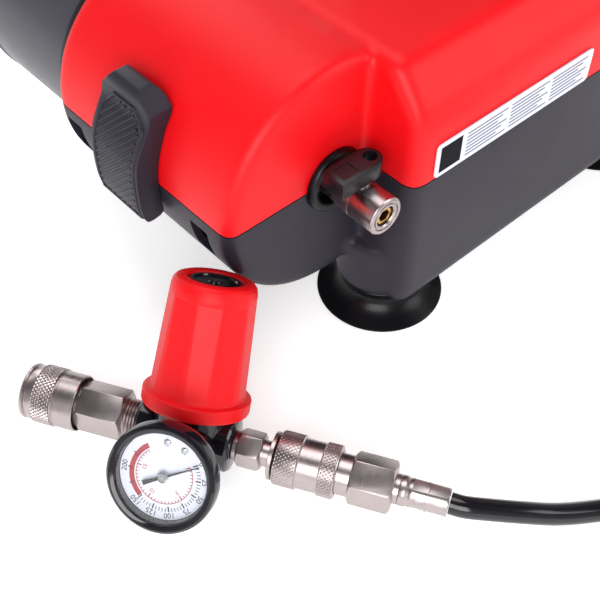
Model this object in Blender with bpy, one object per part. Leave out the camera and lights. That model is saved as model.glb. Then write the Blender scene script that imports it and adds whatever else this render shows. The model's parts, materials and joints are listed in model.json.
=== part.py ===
"""Portable air compressor: two tube tanks in a clamshell housing, an oil-free pump between them,
and a hose that ends in an inline pressure regulator. Metres, +Z up, -Y is the front, and the
origin is on the floor under the middle of the compressor."""

import math

import bmesh
import bpy
from mathutils import Matrix, Vector

GAP = 0.0003  # clearance between pieces that touch

# Housing
SEAM_Z = 0.088  # height of the joint between base and cover, which is the tanks' axis
FOOT_HEIGHT = 0.015
WALL = 0.003
LOBE_RADIUS = 0.0555  # rounded shell round each tank
LOBE_LENGTH = 0.117
LOBE_SETBACK = 0.028  # lobe front behind block front
BLOCK_WIDTH = 0.198
BLOCK_DEPTH = 0.173
BLOCK_TOP = 0.141
BLOCK_BROW = 0.121  # height where the front face turns into the sloping brow
BROW_DEPTH = 0.016
TAIL_WIDTH = 0.130  # between the tanks, behind the lobes
DECK_TOP = 0.036
STEP = 0.0004  # keeps neighbouring faces out of one plane
EDGE_ROUND = 0.005
WINDOW_SETBACK = 0.018  # middle of a side window behind the lobe's front, or before its rear
WINDOW_LENGTH = 0.011
WINDOW_HEIGHT = 0.016
WINDOW_DROP = 0.022  # window sill below the seam
AIR_SLOTS = 5
SLOT_PITCH = 0.009
SLOT_HEIGHT = 0.004

# Tanks
TANK_SPREAD = 0.117  # tank axis to the middle plane
TANK_RADIUS = 0.0465
TANK_LENGTH = 0.200
TANK_WALL = 0.002
TANK_INSET = 0.008  # tank dome behind the lobe's front
SLEEVE_LENGTH = 0.012  # inside the lobe
SLEEVE_PROUD = 0.006  # rubber sleeve past the lobe's rear
PORT_RADIUS = 0.008

# Ball valve and outlet at the tank fronts
VALVE_REACH = 0.0304
VALVE_RADIUS = 0.0085
VALVE_BORE = 0.0045
GROMMET_RADIUS = 0.0148
GROMMET_HOLE = 0.0112
LEVER_TAIL = 0.0143  # square end behind the stem
LEVER_NOSE = 0.0046  # middle of the round end in front of the stem
LEVER_WIDTH = 0.0116
LEVER_THICKNESS = 0.008
LEVER_TURN_Y = 0.0142  # stem in front of the lobe
LEVER_Z = VALVE_RADIUS + 0.0015  # underside above the valve's axis

# Feet
FOOT_SPREAD = 0.084
FOOT_INSET = 0.026
FOOT_RADIUS = 0.030
BOSS_RADIUS = 0.0215
BOSS_HEIGHT = 0.030
BOSS_PROUD = 0.0006  # boss below the block's underside

# Latches
LATCH_WIDTH = 0.031
LATCH_POCKET = 0.068
POCKET_DEPTH = 0.0025
POCKET_TOP = math.radians(58)  # angle above the tank axis where the pocket ends
LATCH_PIN_RADIUS = 0.0016
LATCH_PIVOT = (0.0505, 0.0355)  # outwards and up from the tank axis

# Handle
HANDLE_SPAN = 0.120
HANDLE_RISE = 0.036
HANDLE_RADIUS = 0.006
GRIP_RADIUS = 0.0095

# Pump and motor, on one shaft along Y
SHAFT_Z = 0.062
SHAFT_RADIUS = 0.004
THROW = 0.005  # crank pin off the shaft axis
PIN_RADIUS = 0.0025
ROD_LENGTH = 0.039
BORE_RADIUS = 0.018
CYLINDER_WALL = 0.004
CYLINDER_HEIGHT = 0.026
HEAD_HEIGHT = 0.014
CASE_HALF = 0.032
STATOR_RADIUS = 0.041
STATOR_BORE = 0.0215
STATOR_LENGTH = 0.050
FAN_RADIUS = 0.037
PIPE_RADIUS = 0.004

# Hose, regulator and couplings
HOSE_RADIUS = 0.0045
COIL_RADIUS = 0.053  # at the middle of its turns
COIL_BAND = 0.0135  # half the coil's width across its turns
COIL_HEIGHT = 0.0262
LINE_HEADING = Vector((0.509, -0.861, 0.0)).normalized()
KNOB_RISE = math.radians(55)
KNOB_RADIUS = 0.0195
KNOB_TOP_RADIUS = 0.0172
FLANGE_RADIUS = 0.0223
KNOB_HEIGHT = 0.054
PORT_DROP = [(0.1000, -0.1373, 0.0880), (0.1000, -0.1480, 0.0874), (0.1004, -0.1620, 0.0830),
             (0.1020, -0.1770, 0.0720), (0.1050, -0.1905, 0.0570), (0.1090, -0.2030, 0.0430),
             (0.1140, -0.2150, 0.0320), (0.1185, -0.2260, 0.0245), (0.1200, -0.2343, 0.0217)]
TOOL_RUN = [(-0.1392, -0.2003, 0.0170), (-0.1362, -0.2053, 0.0169), (-0.1295, -0.2115, 0.0152),
            (-0.1180, -0.2210, 0.0118), (-0.1055, -0.2301, 0.0078), (-0.0890, -0.2401, 0.0048),
            (-0.0700, -0.2515, 0.0046), (-0.0500, -0.2650, 0.0046), (-0.0280, -0.2815, 0.0046),
            (-0.0068, -0.2977, 0.0046)]
GAUGE_RADIUS = 0.0215
GAUGE_FACE = 0.049  # gauge rim in front of the air line
GAUGE_DEPTH = 0.013
GAUGE_LIP = 0.0037
GAUGE_RECESS = 0.0064  # dial floor behind the rim

FRONT_Y = -(TANK_LENGTH + TANK_INSET + VALVE_REACH) / 2 + VALVE_REACH - LOBE_SETBACK
LOBE_FRONT = FRONT_Y + LOBE_SETBACK
LOBE_REAR = LOBE_FRONT + LOBE_LENGTH
BLOCK_REAR = FRONT_Y + BLOCK_DEPTH
TANK_FRONT = LOBE_FRONT + TANK_INSET
TANK_REAR = TANK_FRONT + TANK_LENGTH
LATCH_Y = (LOBE_FRONT + LOBE_REAR) / 2
TOOL_POINT = Vector((-TANK_SPREAD - LOBE_RADIUS - 0.0388, FRONT_Y + 0.0097, 0.017))  # knob axis
COIL_CENTRE = (TOOL_POINT.x + 0.2523, FRONT_Y - 0.152)
UP = Vector((0, 0, 1))
REARWARD = Vector((0, 1, 0))
RIGHTWARD = Vector((1, 0, 0))


# ---------------------------------------------------------------- helpers


def clear_scene():
    for obj in list(bpy.data.objects):
        bpy.data.objects.remove(obj, do_unlink=True)


def finish(name, colour, roughness, metallic=0.0):
    material = bpy.data.materials.new(name)
    material.use_nodes = True
    shader = material.node_tree.nodes["Principled BSDF"]
    shader.inputs["Base Color"].default_value = (*colour, 1)
    shader.inputs["Roughness"].default_value = roughness
    shader.inputs["Metallic"].default_value = metallic
    return material


def add_object(name, bm, material=None, origin=(0, 0, 0)):
    """A smooth-shaded object from the bmesh, its origin at the given point."""
    bmesh.ops.remove_doubles(bm, verts=bm.verts, dist=1e-6)
    bmesh.ops.recalc_face_normals(bm, faces=bm.faces)
    bmesh.ops.translate(bm, verts=bm.verts, vec=-Vector(origin))
    mesh = bpy.data.meshes.new(name)
    bm.to_mesh(mesh)
    bm.free()
    mesh.shade_smooth()
    mesh.set_sharp_from_angle(angle=math.radians(35))
    if material:
        mesh.materials.append(material)
    obj = bpy.data.objects.new(name, mesh)
    obj.location = origin
    bpy.context.scene.collection.objects.link(obj)
    return obj


def tool(name, bm):
    """A helper solid for a Boolean."""
    obj = add_object(name, bm)
    obj.hide_render = True
    obj.display_type = "WIRE"
    return obj


def combine(obj, other, operation):
    modifier = obj.modifiers.new(other.name, "BOOLEAN")
    modifier.operation = operation
    modifier.object = other
    modifier.solver = "EXACT"


def turned(profile, centre, axis, segments=24):
    """(radius, distance) points turned about an axis; a profile that leaves the axis is a ring."""
    bm = bmesh.new()
    verts = [bm.verts.new((radius, 0, along)) for radius, along in profile]
    edges = [bm.edges.new(pair) for pair in zip(verts, verts[1:])]
    if profile[0][0] > 0:
        edges.append(bm.edges.new((verts[-1], verts[0])))
    bmesh.ops.spin(bm, geom=verts + edges, cent=(0, 0, 0), axis=(0, 0, 1), angle=math.tau,
                   steps=segments, use_merge=True)
    bmesh.ops.remove_doubles(bm, verts=bm.verts, dist=1e-7)
    bmesh.ops.recalc_face_normals(bm, faces=bm.faces)
    turn = UP.rotation_difference(Vector(axis)).to_matrix().to_4x4()
    bm.transform(Matrix.Translation(centre) @ turn)
    return bm


def turned_loop(profile, centre, axis, segments=24):
    """Like turned, for a closed profile that also runs along the axis, as a cup's does."""
    bm = bmesh.new()
    verts = [bm.verts.new((radius, 0, along)) for radius, along in profile]
    edges = [bm.edges.new((a, b)) for a, b in zip(verts, verts[1:] + verts[:1])
             if a.co.x or b.co.x]
    bmesh.ops.spin(bm, geom=verts + edges, cent=(0, 0, 0), axis=(0, 0, 1), angle=math.tau,
                   steps=segments, use_merge=True)
    turn = UP.rotation_difference(Vector(axis)).to_matrix().to_4x4()
    bm.transform(Matrix.Translation(centre) @ turn)
    return bm


def rod(radius, centre, axis, start, end, segments=16):
    return turned([(0, start), (radius, start), (radius, end), (0, end)], centre, axis, segments)


def tube(outer, inner, centre, axis, start, end, segments=24):
    return turned([(inner, start), (outer, start), (outer, end), (inner, end)],
                  centre, axis, segments)


def box(low, high, bevel=0.0, segments=1):
    bm = bmesh.new()
    low, high = Vector(low), Vector(high)
    bmesh.ops.create_cube(bm, size=1)
    bmesh.ops.scale(bm, verts=bm.verts, vec=high - low)
    bmesh.ops.translate(bm, verts=bm.verts, vec=(low + high) / 2)
    if bevel:
        bmesh.ops.bevel(bm, geom=bm.edges[:], offset=bevel, segments=segments, profile=0.5,
                        affect="EDGES")
    return bm


def prism(outline, thickness):
    """An outline in XY, extruded up from z = 0."""
    bm = bmesh.new()
    face = bm.faces.new([bm.verts.new((x, y, 0)) for x, y in outline])
    grown = bmesh.ops.extrude_face_region(bm, geom=[face])["geom"]
    moved = [g for g in grown if isinstance(g, bmesh.types.BMVert)]
    bmesh.ops.translate(bm, verts=moved, vec=(0, 0, thickness))
    bmesh.ops.recalc_face_normals(bm, faces=bm.faces)
    return bm


def arc(radius, start, end, steps):
    return [(radius * math.cos(start + (end - start) * i / steps),
             radius * math.sin(start + (end - start) * i / steps)) for i in range(steps + 1)]


def smooth_route(points, steps):
    """Catmull-Rom points through the route's own points."""
    route = [Vector(p) for p in points]
    ends = [2 * route[0] - route[1], *route, 2 * route[-1] - route[-2]]
    found = []
    for a, b, c, d in zip(ends, ends[1:], ends[2:], ends[3:]):
        for i in range(steps):
            t = i / steps
            found.append(0.5 * (2 * b + (c - a) * t + (2 * a - 5 * b + 4 * c - d) * t**2
                                + (3 * b - a - 3 * c + d) * t**3))
    return [*found, route[-1]]


def pipe(name, points, radius, material, resolution=2):
    """A round tube along the points, as a curve with closed ends."""
    curve = bpy.data.curves.new(name, "CURVE")
    curve.dimensions = "3D"
    curve.bevel_depth = radius
    curve.bevel_resolution = resolution
    curve.use_fill_caps = True
    spline = curve.splines.new("POLY")
    spline.points.add(len(points) - 1)
    for target, point in zip(spline.points, points):
        target.co = (*point, 1)
    curve.materials.append(material)
    obj = bpy.data.objects.new(name, curve)
    bpy.context.scene.collection.objects.link(obj)
    return obj


def side_name(side):
    return "left" if side < 0 else "right"


# ---------------------------------------------------------------- housing


def lobe_form(side, radius, inset, edge):
    """The solid round one tank: a drum with rounded rims."""
    end = LOBE_LENGTH - inset
    profile = [(0, inset), (radius - edge, inset), (radius, inset + edge),
               (radius, end - edge), (radius - edge, end), (0, end)]
    return turned(profile, (side * TANK_SPREAD, LOBE_FRONT, SEAM_Z), REARWARD, 32)


def block_form(outline, half, edge):
    """A (y, z) outline run across the middle of the machine, its edges broken."""
    bm = prism([(z, y) for y, z in outline], 2 * half)
    bm.transform(Matrix(((0, 0, 1, -half), (0, 1, 0, 0), (1, 0, 0, 0), (0, 0, 0, 1))))
    bmesh.ops.recalc_face_normals(bm, faces=bm.faces)
    bmesh.ops.bevel(bm, geom=bm.edges[:], offset=edge, segments=1, profile=0.5, affect="EDGES")
    return bm


def housing_form(name, inset, edge):
    """The whole housing as one helper solid, shrunk by the inset: a front block with a sloping
    brow, a narrower tail between the tanks, a low deck for the rear feet, and two lobes."""
    low, top, brow = FOOT_HEIGHT + BOSS_PROUD + inset, BLOCK_TOP - inset, BLOCK_BROW - inset / 2
    front, middle, rear = FRONT_Y + inset, LOBE_REAR - STEP - inset, BLOCK_REAR - inset
    inside = LOBE_REAR - 0.020
    block = [(front, low), (front, brow), (front + BROW_DEPTH, top), (middle, top), (middle, low)]
    tail = [(inside, low + STEP), (inside, top - STEP), (rear - BROW_DEPTH, top - STEP),
            (rear, brow), (rear, low + STEP)]
    deck = [(inside, low + 2 * STEP), (inside, DECK_TOP - inset), (rear - STEP, DECK_TOP - inset),
            (rear - STEP, low + 2 * STEP)]
    body = tool(name, block_form(block, BLOCK_WIDTH / 2 - inset, edge))
    for label, outline, half in (("tail", tail, TAIL_WIDTH / 2),
                                 ("deck", deck, BLOCK_WIDTH / 2 - STEP)):
        combine(body, tool(f"{name}_{label}", block_form(outline, half - inset, edge)), "UNION")
    for side in (-1, 1):
        lobe = tool(f"{name}_lobe_{side_name(side)}",
                    lobe_form(side, LOBE_RADIUS - inset, inset, edge))
        combine(body, lobe, "UNION")
    return body


def foot_places():
    for side in (-1, 1):
        for y in (FRONT_Y + FOOT_INSET, BLOCK_REAR - FOOT_INSET):
            yield side * FOOT_SPREAD, y


def latch_pocket(side):
    """The shallow channel that the latch lies in, as a block to cut away."""
    inner, outer = LOBE_RADIUS - POCKET_DEPTH, LOBE_RADIUS + 0.02
    outline = arc(inner, -POCKET_TOP, POCKET_TOP, 10) + arc(outer, POCKET_TOP, -POCKET_TOP, 4)
    bm = prism(outline, LATCH_POCKET)
    bm.transform(Matrix(((side, 0, 0, side * TANK_SPREAD),
                         (0, 0, 1, LATCH_Y - LATCH_POCKET / 2),
                         (0, 1, 0, SEAM_Z), (0, 0, 0, 1))))
    return bm


def cut_shell(shell, floor_z, roof_z, bosses=()):
    """The cuts that base and cover share: hollow, split, pockets and tank openings."""
    combine(shell, bpy.data.objects["housing_hollow"], "DIFFERENCE")
    slab = box((-0.3, -0.3, floor_z), (0.3, 0.3, roof_z))
    combine(shell, tool(f"{shell.name}_half", slab), "INTERSECT")
    for boss in bosses:
        combine(shell, boss, "UNION")
    for side in (-1, 1):
        for kind in ("pocket", "rear_hole", "front_hole"):
            combine(shell, bpy.data.objects[f"{kind}_{side_name(side)}"], "DIFFERENCE")


def shared_cutters():
    sleeve = TANK_RADIUS + (LOBE_RADIUS - WALL - TANK_RADIUS) - 0.002
    for side in (-1, 1):
        label = side_name(side)
        centre = (side * TANK_SPREAD, 0, SEAM_Z)
        tool(f"pocket_{label}", latch_pocket(side))
        tool(f"rear_hole_{label}",
             rod(sleeve + 2 * GAP, centre, REARWARD, LOBE_REAR - SLEEVE_LENGTH - WALL,
                 BLOCK_REAR + 0.01, 28))
        tool(f"front_hole_{label}",
             rod(GROMMET_HOLE + 0.0015, centre, REARWARD, LOBE_FRONT - 0.01,
                 LOBE_FRONT + 2 * WALL, 16))
    return sleeve


def add_base(material):
    """The black lower half: tub, foot bosses, side windows, air slots and switch opening."""
    form = housing_form("base_form", 0, EDGE_ROUND)
    base = form
    base.name = "base_shell"
    base.hide_render = False
    base.display_type = "TEXTURED"
    base.data.materials.append(material)
    bosses = [tool(f"boss_{index}", rod(BOSS_RADIUS, (x, y, FOOT_HEIGHT), UP, 0, BOSS_HEIGHT, 14))
              for index, (x, y) in enumerate(foot_places())]
    cut_shell(base, 0, SEAM_Z - GAP / 2, bosses)
    for side in (-1, 1):
        seat = rod(TANK_RADIUS + GAP, (side * TANK_SPREAD, 0, SEAM_Z), REARWARD,
                   TANK_FRONT - 0.006, LOBE_REAR - SLEEVE_LENGTH, 28)
        combine(base, tool(f"tank_seat_{side_name(side)}", seat), "DIFFERENCE")
    for index, (side, near) in enumerate((s, n) for s in (-1, 1) for n in (0, 1)):
        y = (LOBE_FRONT + WINDOW_SETBACK, LOBE_REAR - WINDOW_SETBACK)[near]
        x = side * (TANK_SPREAD + LOBE_RADIUS)
        window = box((x - 0.012, y - WINDOW_LENGTH / 2, SEAM_Z - WINDOW_DROP),
                     (x + 0.012, y + WINDOW_LENGTH / 2, SEAM_Z - WINDOW_DROP + WINDOW_HEIGHT))
        combine(base, tool(f"window_{index}", window), "DIFFERENCE")
    for index in range(AIR_SLOTS):
        z = FOOT_HEIGHT + 0.020 + SLOT_PITCH * index
        slot = box((-0.042, BLOCK_REAR - 2 * WALL, z),
                   (0.018, BLOCK_REAR + 0.01, z + SLOT_HEIGHT))
        combine(base, tool(f"air_slot_{index}", slot), "DIFFERENCE")
    gland = rod(GLAND_RADIUS + GAP, GLAND_CENTRE, REARWARD, -0.012, 0.012, 16)
    combine(base, tool("gland_hole", gland), "DIFFERENCE")
    return base


def add_cover(material):
    """The red upper half, with holes for the handle posts and the switch."""
    cover = housing_form("cover_form", 0, EDGE_ROUND)
    cover.name = "cover_shell"
    cover.hide_render = False
    cover.display_type = "TEXTURED"
    cover.data.materials.append(material)
    cut_shell(cover, SEAM_Z + GAP / 2, 0.3)
    for side in (-1, 1):
        x = side * HANDLE_SPAN / 2
        hole = rod(HANDLE_RADIUS + GAP, (x, HANDLE_Y, BLOCK_TOP), UP, -0.01, 0.01)
        combine(cover, tool(f"handle_hole_{side_name(side)}", hole), "DIFFERENCE")
    low = Vector(SWITCH_CENTRE) - Vector((SWITCH_HALF[0], 0.01, SWITCH_HALF[1]))
    high = Vector(SWITCH_CENTRE) + Vector((SWITCH_HALF[0], 0.01, SWITCH_HALF[1]))
    combine(cover, tool("switch_hole", box(low, high)), "DIFFERENCE")
    return cover


# ---------------------------------------------------------------- tanks and their fittings


def add_tank(side, material):
    """A tube tank with domed ends, an open front port and a collar for the cross pipe."""
    r, wall, length = TANK_RADIUS, TANK_WALL, TANK_LENGTH
    dome = 0.35 * r
    skin = [(PORT_RADIUS, -0.005), (PORT_RADIUS, 0.001), (0.7 * r, 0.3 * dome), (r, dome),
            (r, length - dome), (0.7 * r, length - 0.3 * dome), (0, length)]
    lining = [(0, length - wall), (0.7 * r - wall / 2, length - 0.3 * dome - wall),
              (r - wall, length - dome), (r - wall, dome), (0.7 * r - wall / 2, 0.3 * dome + wall),
              (VALVE_BORE, 0.001 + wall), (VALVE_BORE, -0.005)]
    bm = turned_loop(skin + lining, (side * TANK_SPREAD, TANK_FRONT, SEAM_Z), REARWARD, 28)
    tank = add_object(f"tank_{side_name(side)}", bm, material)
    reach = TANK_SPREAD - math.sqrt(r**2 - CROSS_RISE**2)
    collar = rod(2 * PIPE_RADIUS, (0, CROSS_Y, SEAM_Z + CROSS_RISE), side * RIGHTWARD,
                 COLLAR_END, reach + 0.004)
    combine(tank, tool(f"collar_{side_name(side)}", collar), "UNION")
    return tank


def add_tank_sleeve(side, outer, material):
    bm = tube(outer, TANK_RADIUS + GAP, (side * TANK_SPREAD, 0, SEAM_Z), REARWARD,
              LOBE_REAR - SLEEVE_LENGTH, LOBE_REAR + SLEEVE_PROUD, 28)
    add_object(f"tank_sleeve_{side_name(side)}", bm, material)


def add_grommet(side, name, material):
    front = LOBE_FRONT - GAP
    profile = [(GROMMET_HOLE, front - 0.0030), (GROMMET_RADIUS - 0.0012, front - 0.0030),
               (GROMMET_RADIUS, front - 0.0018), (GROMMET_RADIUS, front), (GROMMET_HOLE, front)]
    bm = turned(profile, (side * TANK_SPREAD, 0, SEAM_Z), REARWARD, 20)
    add_object(name, bm, material)


def add_ball_valve(materials):
    """Nickel-plated valve body, its ball and stem, and the lever that turns them."""
    centre = (-TANK_SPREAD, LOBE_FRONT, SEAM_Z)
    inlet = TANK_INSET - 0.005 - GAP
    stem_y = -LEVER_TURN_Y
    seat = BALL_RADIUS + 2 * GAP
    waist = VALVE_RADIUS - 0.0007
    profile = [(VALVE_BORE, inlet), (0.0072, inlet), (0.0072, -0.004), (waist, -0.008),
               (waist, -0.0130), (VALVE_RADIUS, -0.0136), (VALVE_RADIUS, -VALVE_REACH),
               (VALVE_BORE, -VALVE_REACH)]
    body = add_object("ball_valve_body", turned(profile, centre, REARWARD, 16),
                      materials["nickel"])
    ball_centre = Vector(centre) + Vector((0, stem_y, 0))
    combine(body, tool("valve_seat", ball_form(ball_centre, seat)), "DIFFERENCE")
    neck = rod(STEM_RADIUS + 0.003, ball_centre, UP, BALL_RADIUS, LEVER_Z - GAP, 12)
    combine(body, tool("valve_neck", neck), "UNION")
    stem_hole = rod(STEM_RADIUS + GAP, ball_centre, UP, 0, LEVER_Z + 0.01, 12)
    combine(body, tool("valve_stem_hole", stem_hole), "DIFFERENCE")
    ball = add_object("valve_ball", ball_form(ball_centre, BALL_RADIUS), materials["brass"],
                      ball_centre)
    stem = rod(STEM_RADIUS, ball_centre, UP, BALL_RADIUS - 0.002, LEVER_Z - GAP, 12)
    combine(ball, tool("valve_stem", stem), "UNION")
    bore = rod(0.003, ball_centre, RIGHTWARD, -0.02, 0.02, 10)
    combine(ball, tool("valve_ball_bore", bore), "DIFFERENCE")
    half = LEVER_WIDTH / 2
    nose = [(LEVER_NOSE + x, y) for x, y in arc(half, -math.pi / 2, math.pi / 2, 6)]
    slab = prism([*nose, (-LEVER_TAIL, half), (-LEVER_TAIL, -half)], LEVER_THICKNESS)
    bmesh.ops.translate(slab, verts=slab.verts, vec=ball_centre + UP * LEVER_Z)
    lever = add_object("valve_lever", slab, materials["black"], ball_centre)
    eye = rod(LEVER_EYE, ball_centre + RIGHTWARD * (LEVER_NOSE + 0.001), UP, LEVER_Z - 0.001,
              LEVER_Z + LEVER_THICKNESS + 0.001, 12)
    combine(lever, tool("lever_eye", eye), "DIFFERENCE")


def ball_form(centre, radius):
    bm = bmesh.new()
    bmesh.ops.create_uvsphere(bm, u_segments=12, v_segments=6, radius=radius)
    bmesh.ops.translate(bm, verts=bm.verts, vec=centre)
    return bm


def add_outlet(material):
    """The hose port on the right tank, with a collar the hose end screws on."""
    centre = (TANK_SPREAD, LOBE_FRONT, SEAM_Z)
    inlet = TANK_INSET - 0.005 - GAP
    profile = [(VALVE_BORE, inlet), (0.0075, inlet), (0.0075, -0.006), (0.0095, -0.0065),
               (0.0095, -0.017), (0.0065, -0.018), (0.0065, -VALVE_REACH),
               (VALVE_BORE, -VALVE_REACH)]
    add_object("outlet_port", turned(profile, centre, REARWARD, 18), material)


def add_safety_valve(materials):
    """The relief valve on top of the right tank, and the ring that lifts its pin."""
    seat = TANK_RADIUS + GAP
    centre = Vector((TANK_SPREAD, LOBE_REAR + 0.040, SEAM_Z))
    profile = [(0.0012 + GAP, seat + 0.006), (0.0012 + GAP, seat + 0.022), (0.005, seat + 0.022),
               (0.0065, seat + 0.020), (0.0065, seat + 0.009), (0.0085, seat + 0.008),
               (0.0085, seat), (0.0, seat), (0.0, seat + 0.006)]
    add_object("safety_valve_body", turned_loop(profile, centre, UP, 12), materials["brass"])
    pin_top = seat + 0.027
    pin = rod(0.0012, centre, UP, seat + 0.007, pin_top, 10)
    ring = add_object("safety_valve_ring", pin, materials["steel"], centre + UP * pin_top)
    wire = [(0.008 + x, z) for x, z in arc(0.0009, 0, math.tau * 5 / 6, 5)]
    loop = turned(wire, centre + UP * (pin_top + 0.0072), REARWARD, 16)
    combine(ring, tool("pull_loop", loop), "UNION")


def add_drain(materials):
    """The condensate drain under the left tank and the knob that opens it."""
    centre = (-TANK_SPREAD, LOBE_REAR + 0.040, SEAM_Z)
    seat = -TANK_RADIUS - GAP
    body = [(0, seat), (0.0075, seat), (0.0075, seat - 0.007), (0.005, seat - 0.008),
            (0.005, seat - 0.014), (0, seat - 0.014)]
    add_object("drain_valve_body", turned(body, centre, UP, 16), materials["brass"])
    top = seat - 0.014 - GAP
    outline = [(0.0085 * (1 - 0.12 * (i % 2)) * math.cos(math.tau * i / 20),
                0.0085 * (1 - 0.12 * (i % 2)) * math.sin(math.tau * i / 20)) for i in range(20)]
    knob = prism(outline, 0.008)
    bmesh.ops.translate(knob, verts=knob.verts, vec=Vector(centre) + UP * (top - 0.008))
    add_object("drain_knob", knob, materials["black"], Vector(centre) + UP * top)


# ---------------------------------------------------------------- latches, feet, handle


def add_latch(side, materials):
    """A hooked lever on a pin in the cover, whose lower end grips the base."""
    outer = [(0.0555, 0.0430), (0.0578, 0.0400), (0.0575, 0.0355), (0.0585, 0.0305),
             (0.0612, 0.0255), (0.0640, 0.0200), (0.0660, 0.0140), (0.0668, 0.0060),
             (0.0665, -0.0060), (0.0650, -0.0140), (0.0625, -0.0165)]
    inner = [(0.0560, -0.0150), (0.0562, -0.0080), (0.0566, 0.0000), (0.0562, 0.0070),
             (0.0550, 0.0130), (0.0530, 0.0190), (0.0500, 0.0265), (0.0468, 0.0320),
             (0.0462, 0.0360), (0.0470, 0.0400), (0.0500, 0.0430)]
    bm = prism([(x, z) for x, z in outer + inner], LATCH_WIDTH)
    place = Matrix(((side, 0, 0, side * TANK_SPREAD), (0, 0, 1, LATCH_Y - LATCH_WIDTH / 2),
                    (0, 1, 0, SEAM_Z), (0, 0, 0, 1)))
    bm.transform(place)
    pivot = Vector((side * (TANK_SPREAD + LATCH_PIVOT[0]), LATCH_Y, SEAM_Z + LATCH_PIVOT[1]))
    label = side_name(side)
    latch = add_object(f"latch_{label}", bm, materials["black"], pivot)
    hole = rod(LATCH_PIN_RADIUS + GAP, pivot, REARWARD, -0.03, 0.03, 12)
    combine(latch, tool(f"latch_hole_{label}", hole), "DIFFERENCE")
    half = LATCH_WIDTH / 2 + 0.003
    pin = rod(LATCH_PIN_RADIUS, pivot, REARWARD, -half, half, 12)
    add_object(f"latch_pin_{label}", pin, materials["steel"])
    for index, end in enumerate((-1, 1)):
        y = LATCH_Y + end * (LATCH_WIDTH / 2 + 0.0018)
        x = side * (TANK_SPREAD + 0.0465)
        low = Vector((x - 0.0065, y - 0.0012, SEAM_Z + 0.026))
        high = Vector((x + 0.0065, y + 0.0012, SEAM_Z + 0.0385))
        ear = tool(f"ear_{label}_{index}", box(low, high))
        combine(bpy.data.objects["cover_shell"], ear, "UNION")
    clear = tool(f"ear_hole_{label}",
                 rod(LATCH_PIN_RADIUS + GAP, pivot, REARWARD, -0.03, 0.03, 12))
    combine(bpy.data.objects["cover_shell"], clear, "DIFFERENCE")
    hollow = tool(f"latch_room_{label}",
                  rod(0.0085, pivot, REARWARD, -LATCH_WIDTH / 2 - 0.0004,
                      LATCH_WIDTH / 2 + 0.0004, 20))
    combine(bpy.data.objects["cover_shell"], hollow, "DIFFERENCE")


def add_feet(material):
    top = FOOT_HEIGHT - GAP
    r = FOOT_RADIUS
    profile = [(0, 0.005), (0.6 * r, 0.0035), (r - 0.0025, 0), (r, 0), (r - 0.0003, 0.0012),
               (0.62 * r, 0.0085), (0.60 * r, top), (0, top)]
    names = ("front_left", "rear_left", "front_right", "rear_right")
    for name, (x, y) in zip(names, foot_places()):
        add_object(f"suction_foot_{name}", turned(profile, (x, y, 0), UP, 20), material)


def add_handle(materials):
    low, top, half = BLOCK_TOP - 0.008, BLOCK_TOP + HANDLE_RISE, HANDLE_SPAN / 2
    bend = 0.014
    corner = [(half - bend + x, top - bend + z) for x, z in arc(bend, 0, math.pi / 2, 5)]
    path = [(half, low), *corner]
    points = [(x, HANDLE_Y, z) for x, z in path] + [(-x, HANDLE_Y, z) for x, z in path[::-1]]
    pipe("carry_handle", points, HANDLE_RADIUS, materials["steel"], 2)
    reach = half - bend - 0.004
    grip = tube(GRIP_RADIUS, HANDLE_RADIUS + GAP, (0, HANDLE_Y, top), RIGHTWARD, -reach, reach, 18)
    add_object("handle_grip", grip, materials["rubber"])


# ---------------------------------------------------------------- motor and pump


def add_motor(materials):
    stator = tube(STATOR_RADIUS, STATOR_BORE, (0, STATOR_Y, SHAFT_Z), REARWARD, 0,
                  STATOR_LENGTH, 24)
    add_object("motor_stator", stator, materials["steel"])
    core = STATOR_BORE - 0.001
    front, rear = SHAFT_FRONT - STATOR_Y, STATOR_LENGTH + 0.022
    profile = [(0, front), (SHAFT_RADIUS, front), (SHAFT_RADIUS, 0.002), (core, 0.002),
               (core, STATOR_LENGTH - 0.002), (SHAFT_RADIUS, STATOR_LENGTH - 0.002),
               (SHAFT_RADIUS, rear), (0, rear)]
    spin = (0, STATOR_Y, SHAFT_Z)
    add_object("motor_rotor", turned(profile, spin, REARWARD, 16), materials["steel"], spin)
    fan_y = STATOR_Y + STATOR_LENGTH + 0.006
    blades = 7
    outline = []
    for index in range(blades):
        for radius, turn in ((0.010, 0.12), (FAN_RADIUS, 0.30), (FAN_RADIUS, 0.55), (0.010, 0.62)):
            angle = math.tau * (index + turn) / blades
            outline.append((radius * math.cos(angle), radius * math.sin(angle)))
    fan = prism(outline, 0.009)
    fan.transform(Matrix(((1, 0, 0, 0), (0, 0, 1, fan_y), (0, 1, 0, SHAFT_Z), (0, 0, 0, 1))))
    fan_obj = add_object("cooling_fan", fan, materials["black"], (0, fan_y, SHAFT_Z))
    bore = rod(SHAFT_RADIUS + GAP, (0, fan_y, SHAFT_Z), REARWARD, -0.01, 0.02, 16)
    combine(fan_obj, tool("fan_bore", bore), "DIFFERENCE")
    bracket = box((-0.046, STATOR_Y - 0.007, SHAFT_Z - 0.030),
                  (0.046, STATOR_Y - GAP, SHAFT_Z + 0.030), 0.003)
    bracket_obj = add_object("motor_bracket", bracket, materials["cast"])
    seat = rod(BEARING_RADIUS + GAP, (0, STATOR_Y, SHAFT_Z), REARWARD, -0.02, 0.01, 16)
    combine(bracket_obj, tool("bracket_bore", seat), "DIFFERENCE")
    bearing = tube(BEARING_RADIUS, SHAFT_RADIUS + GAP, (0, STATOR_Y, SHAFT_Z), REARWARD,
                   -0.007, -GAP, 16)
    add_object("shaft_bearing", bearing, materials["steel"])


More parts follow.
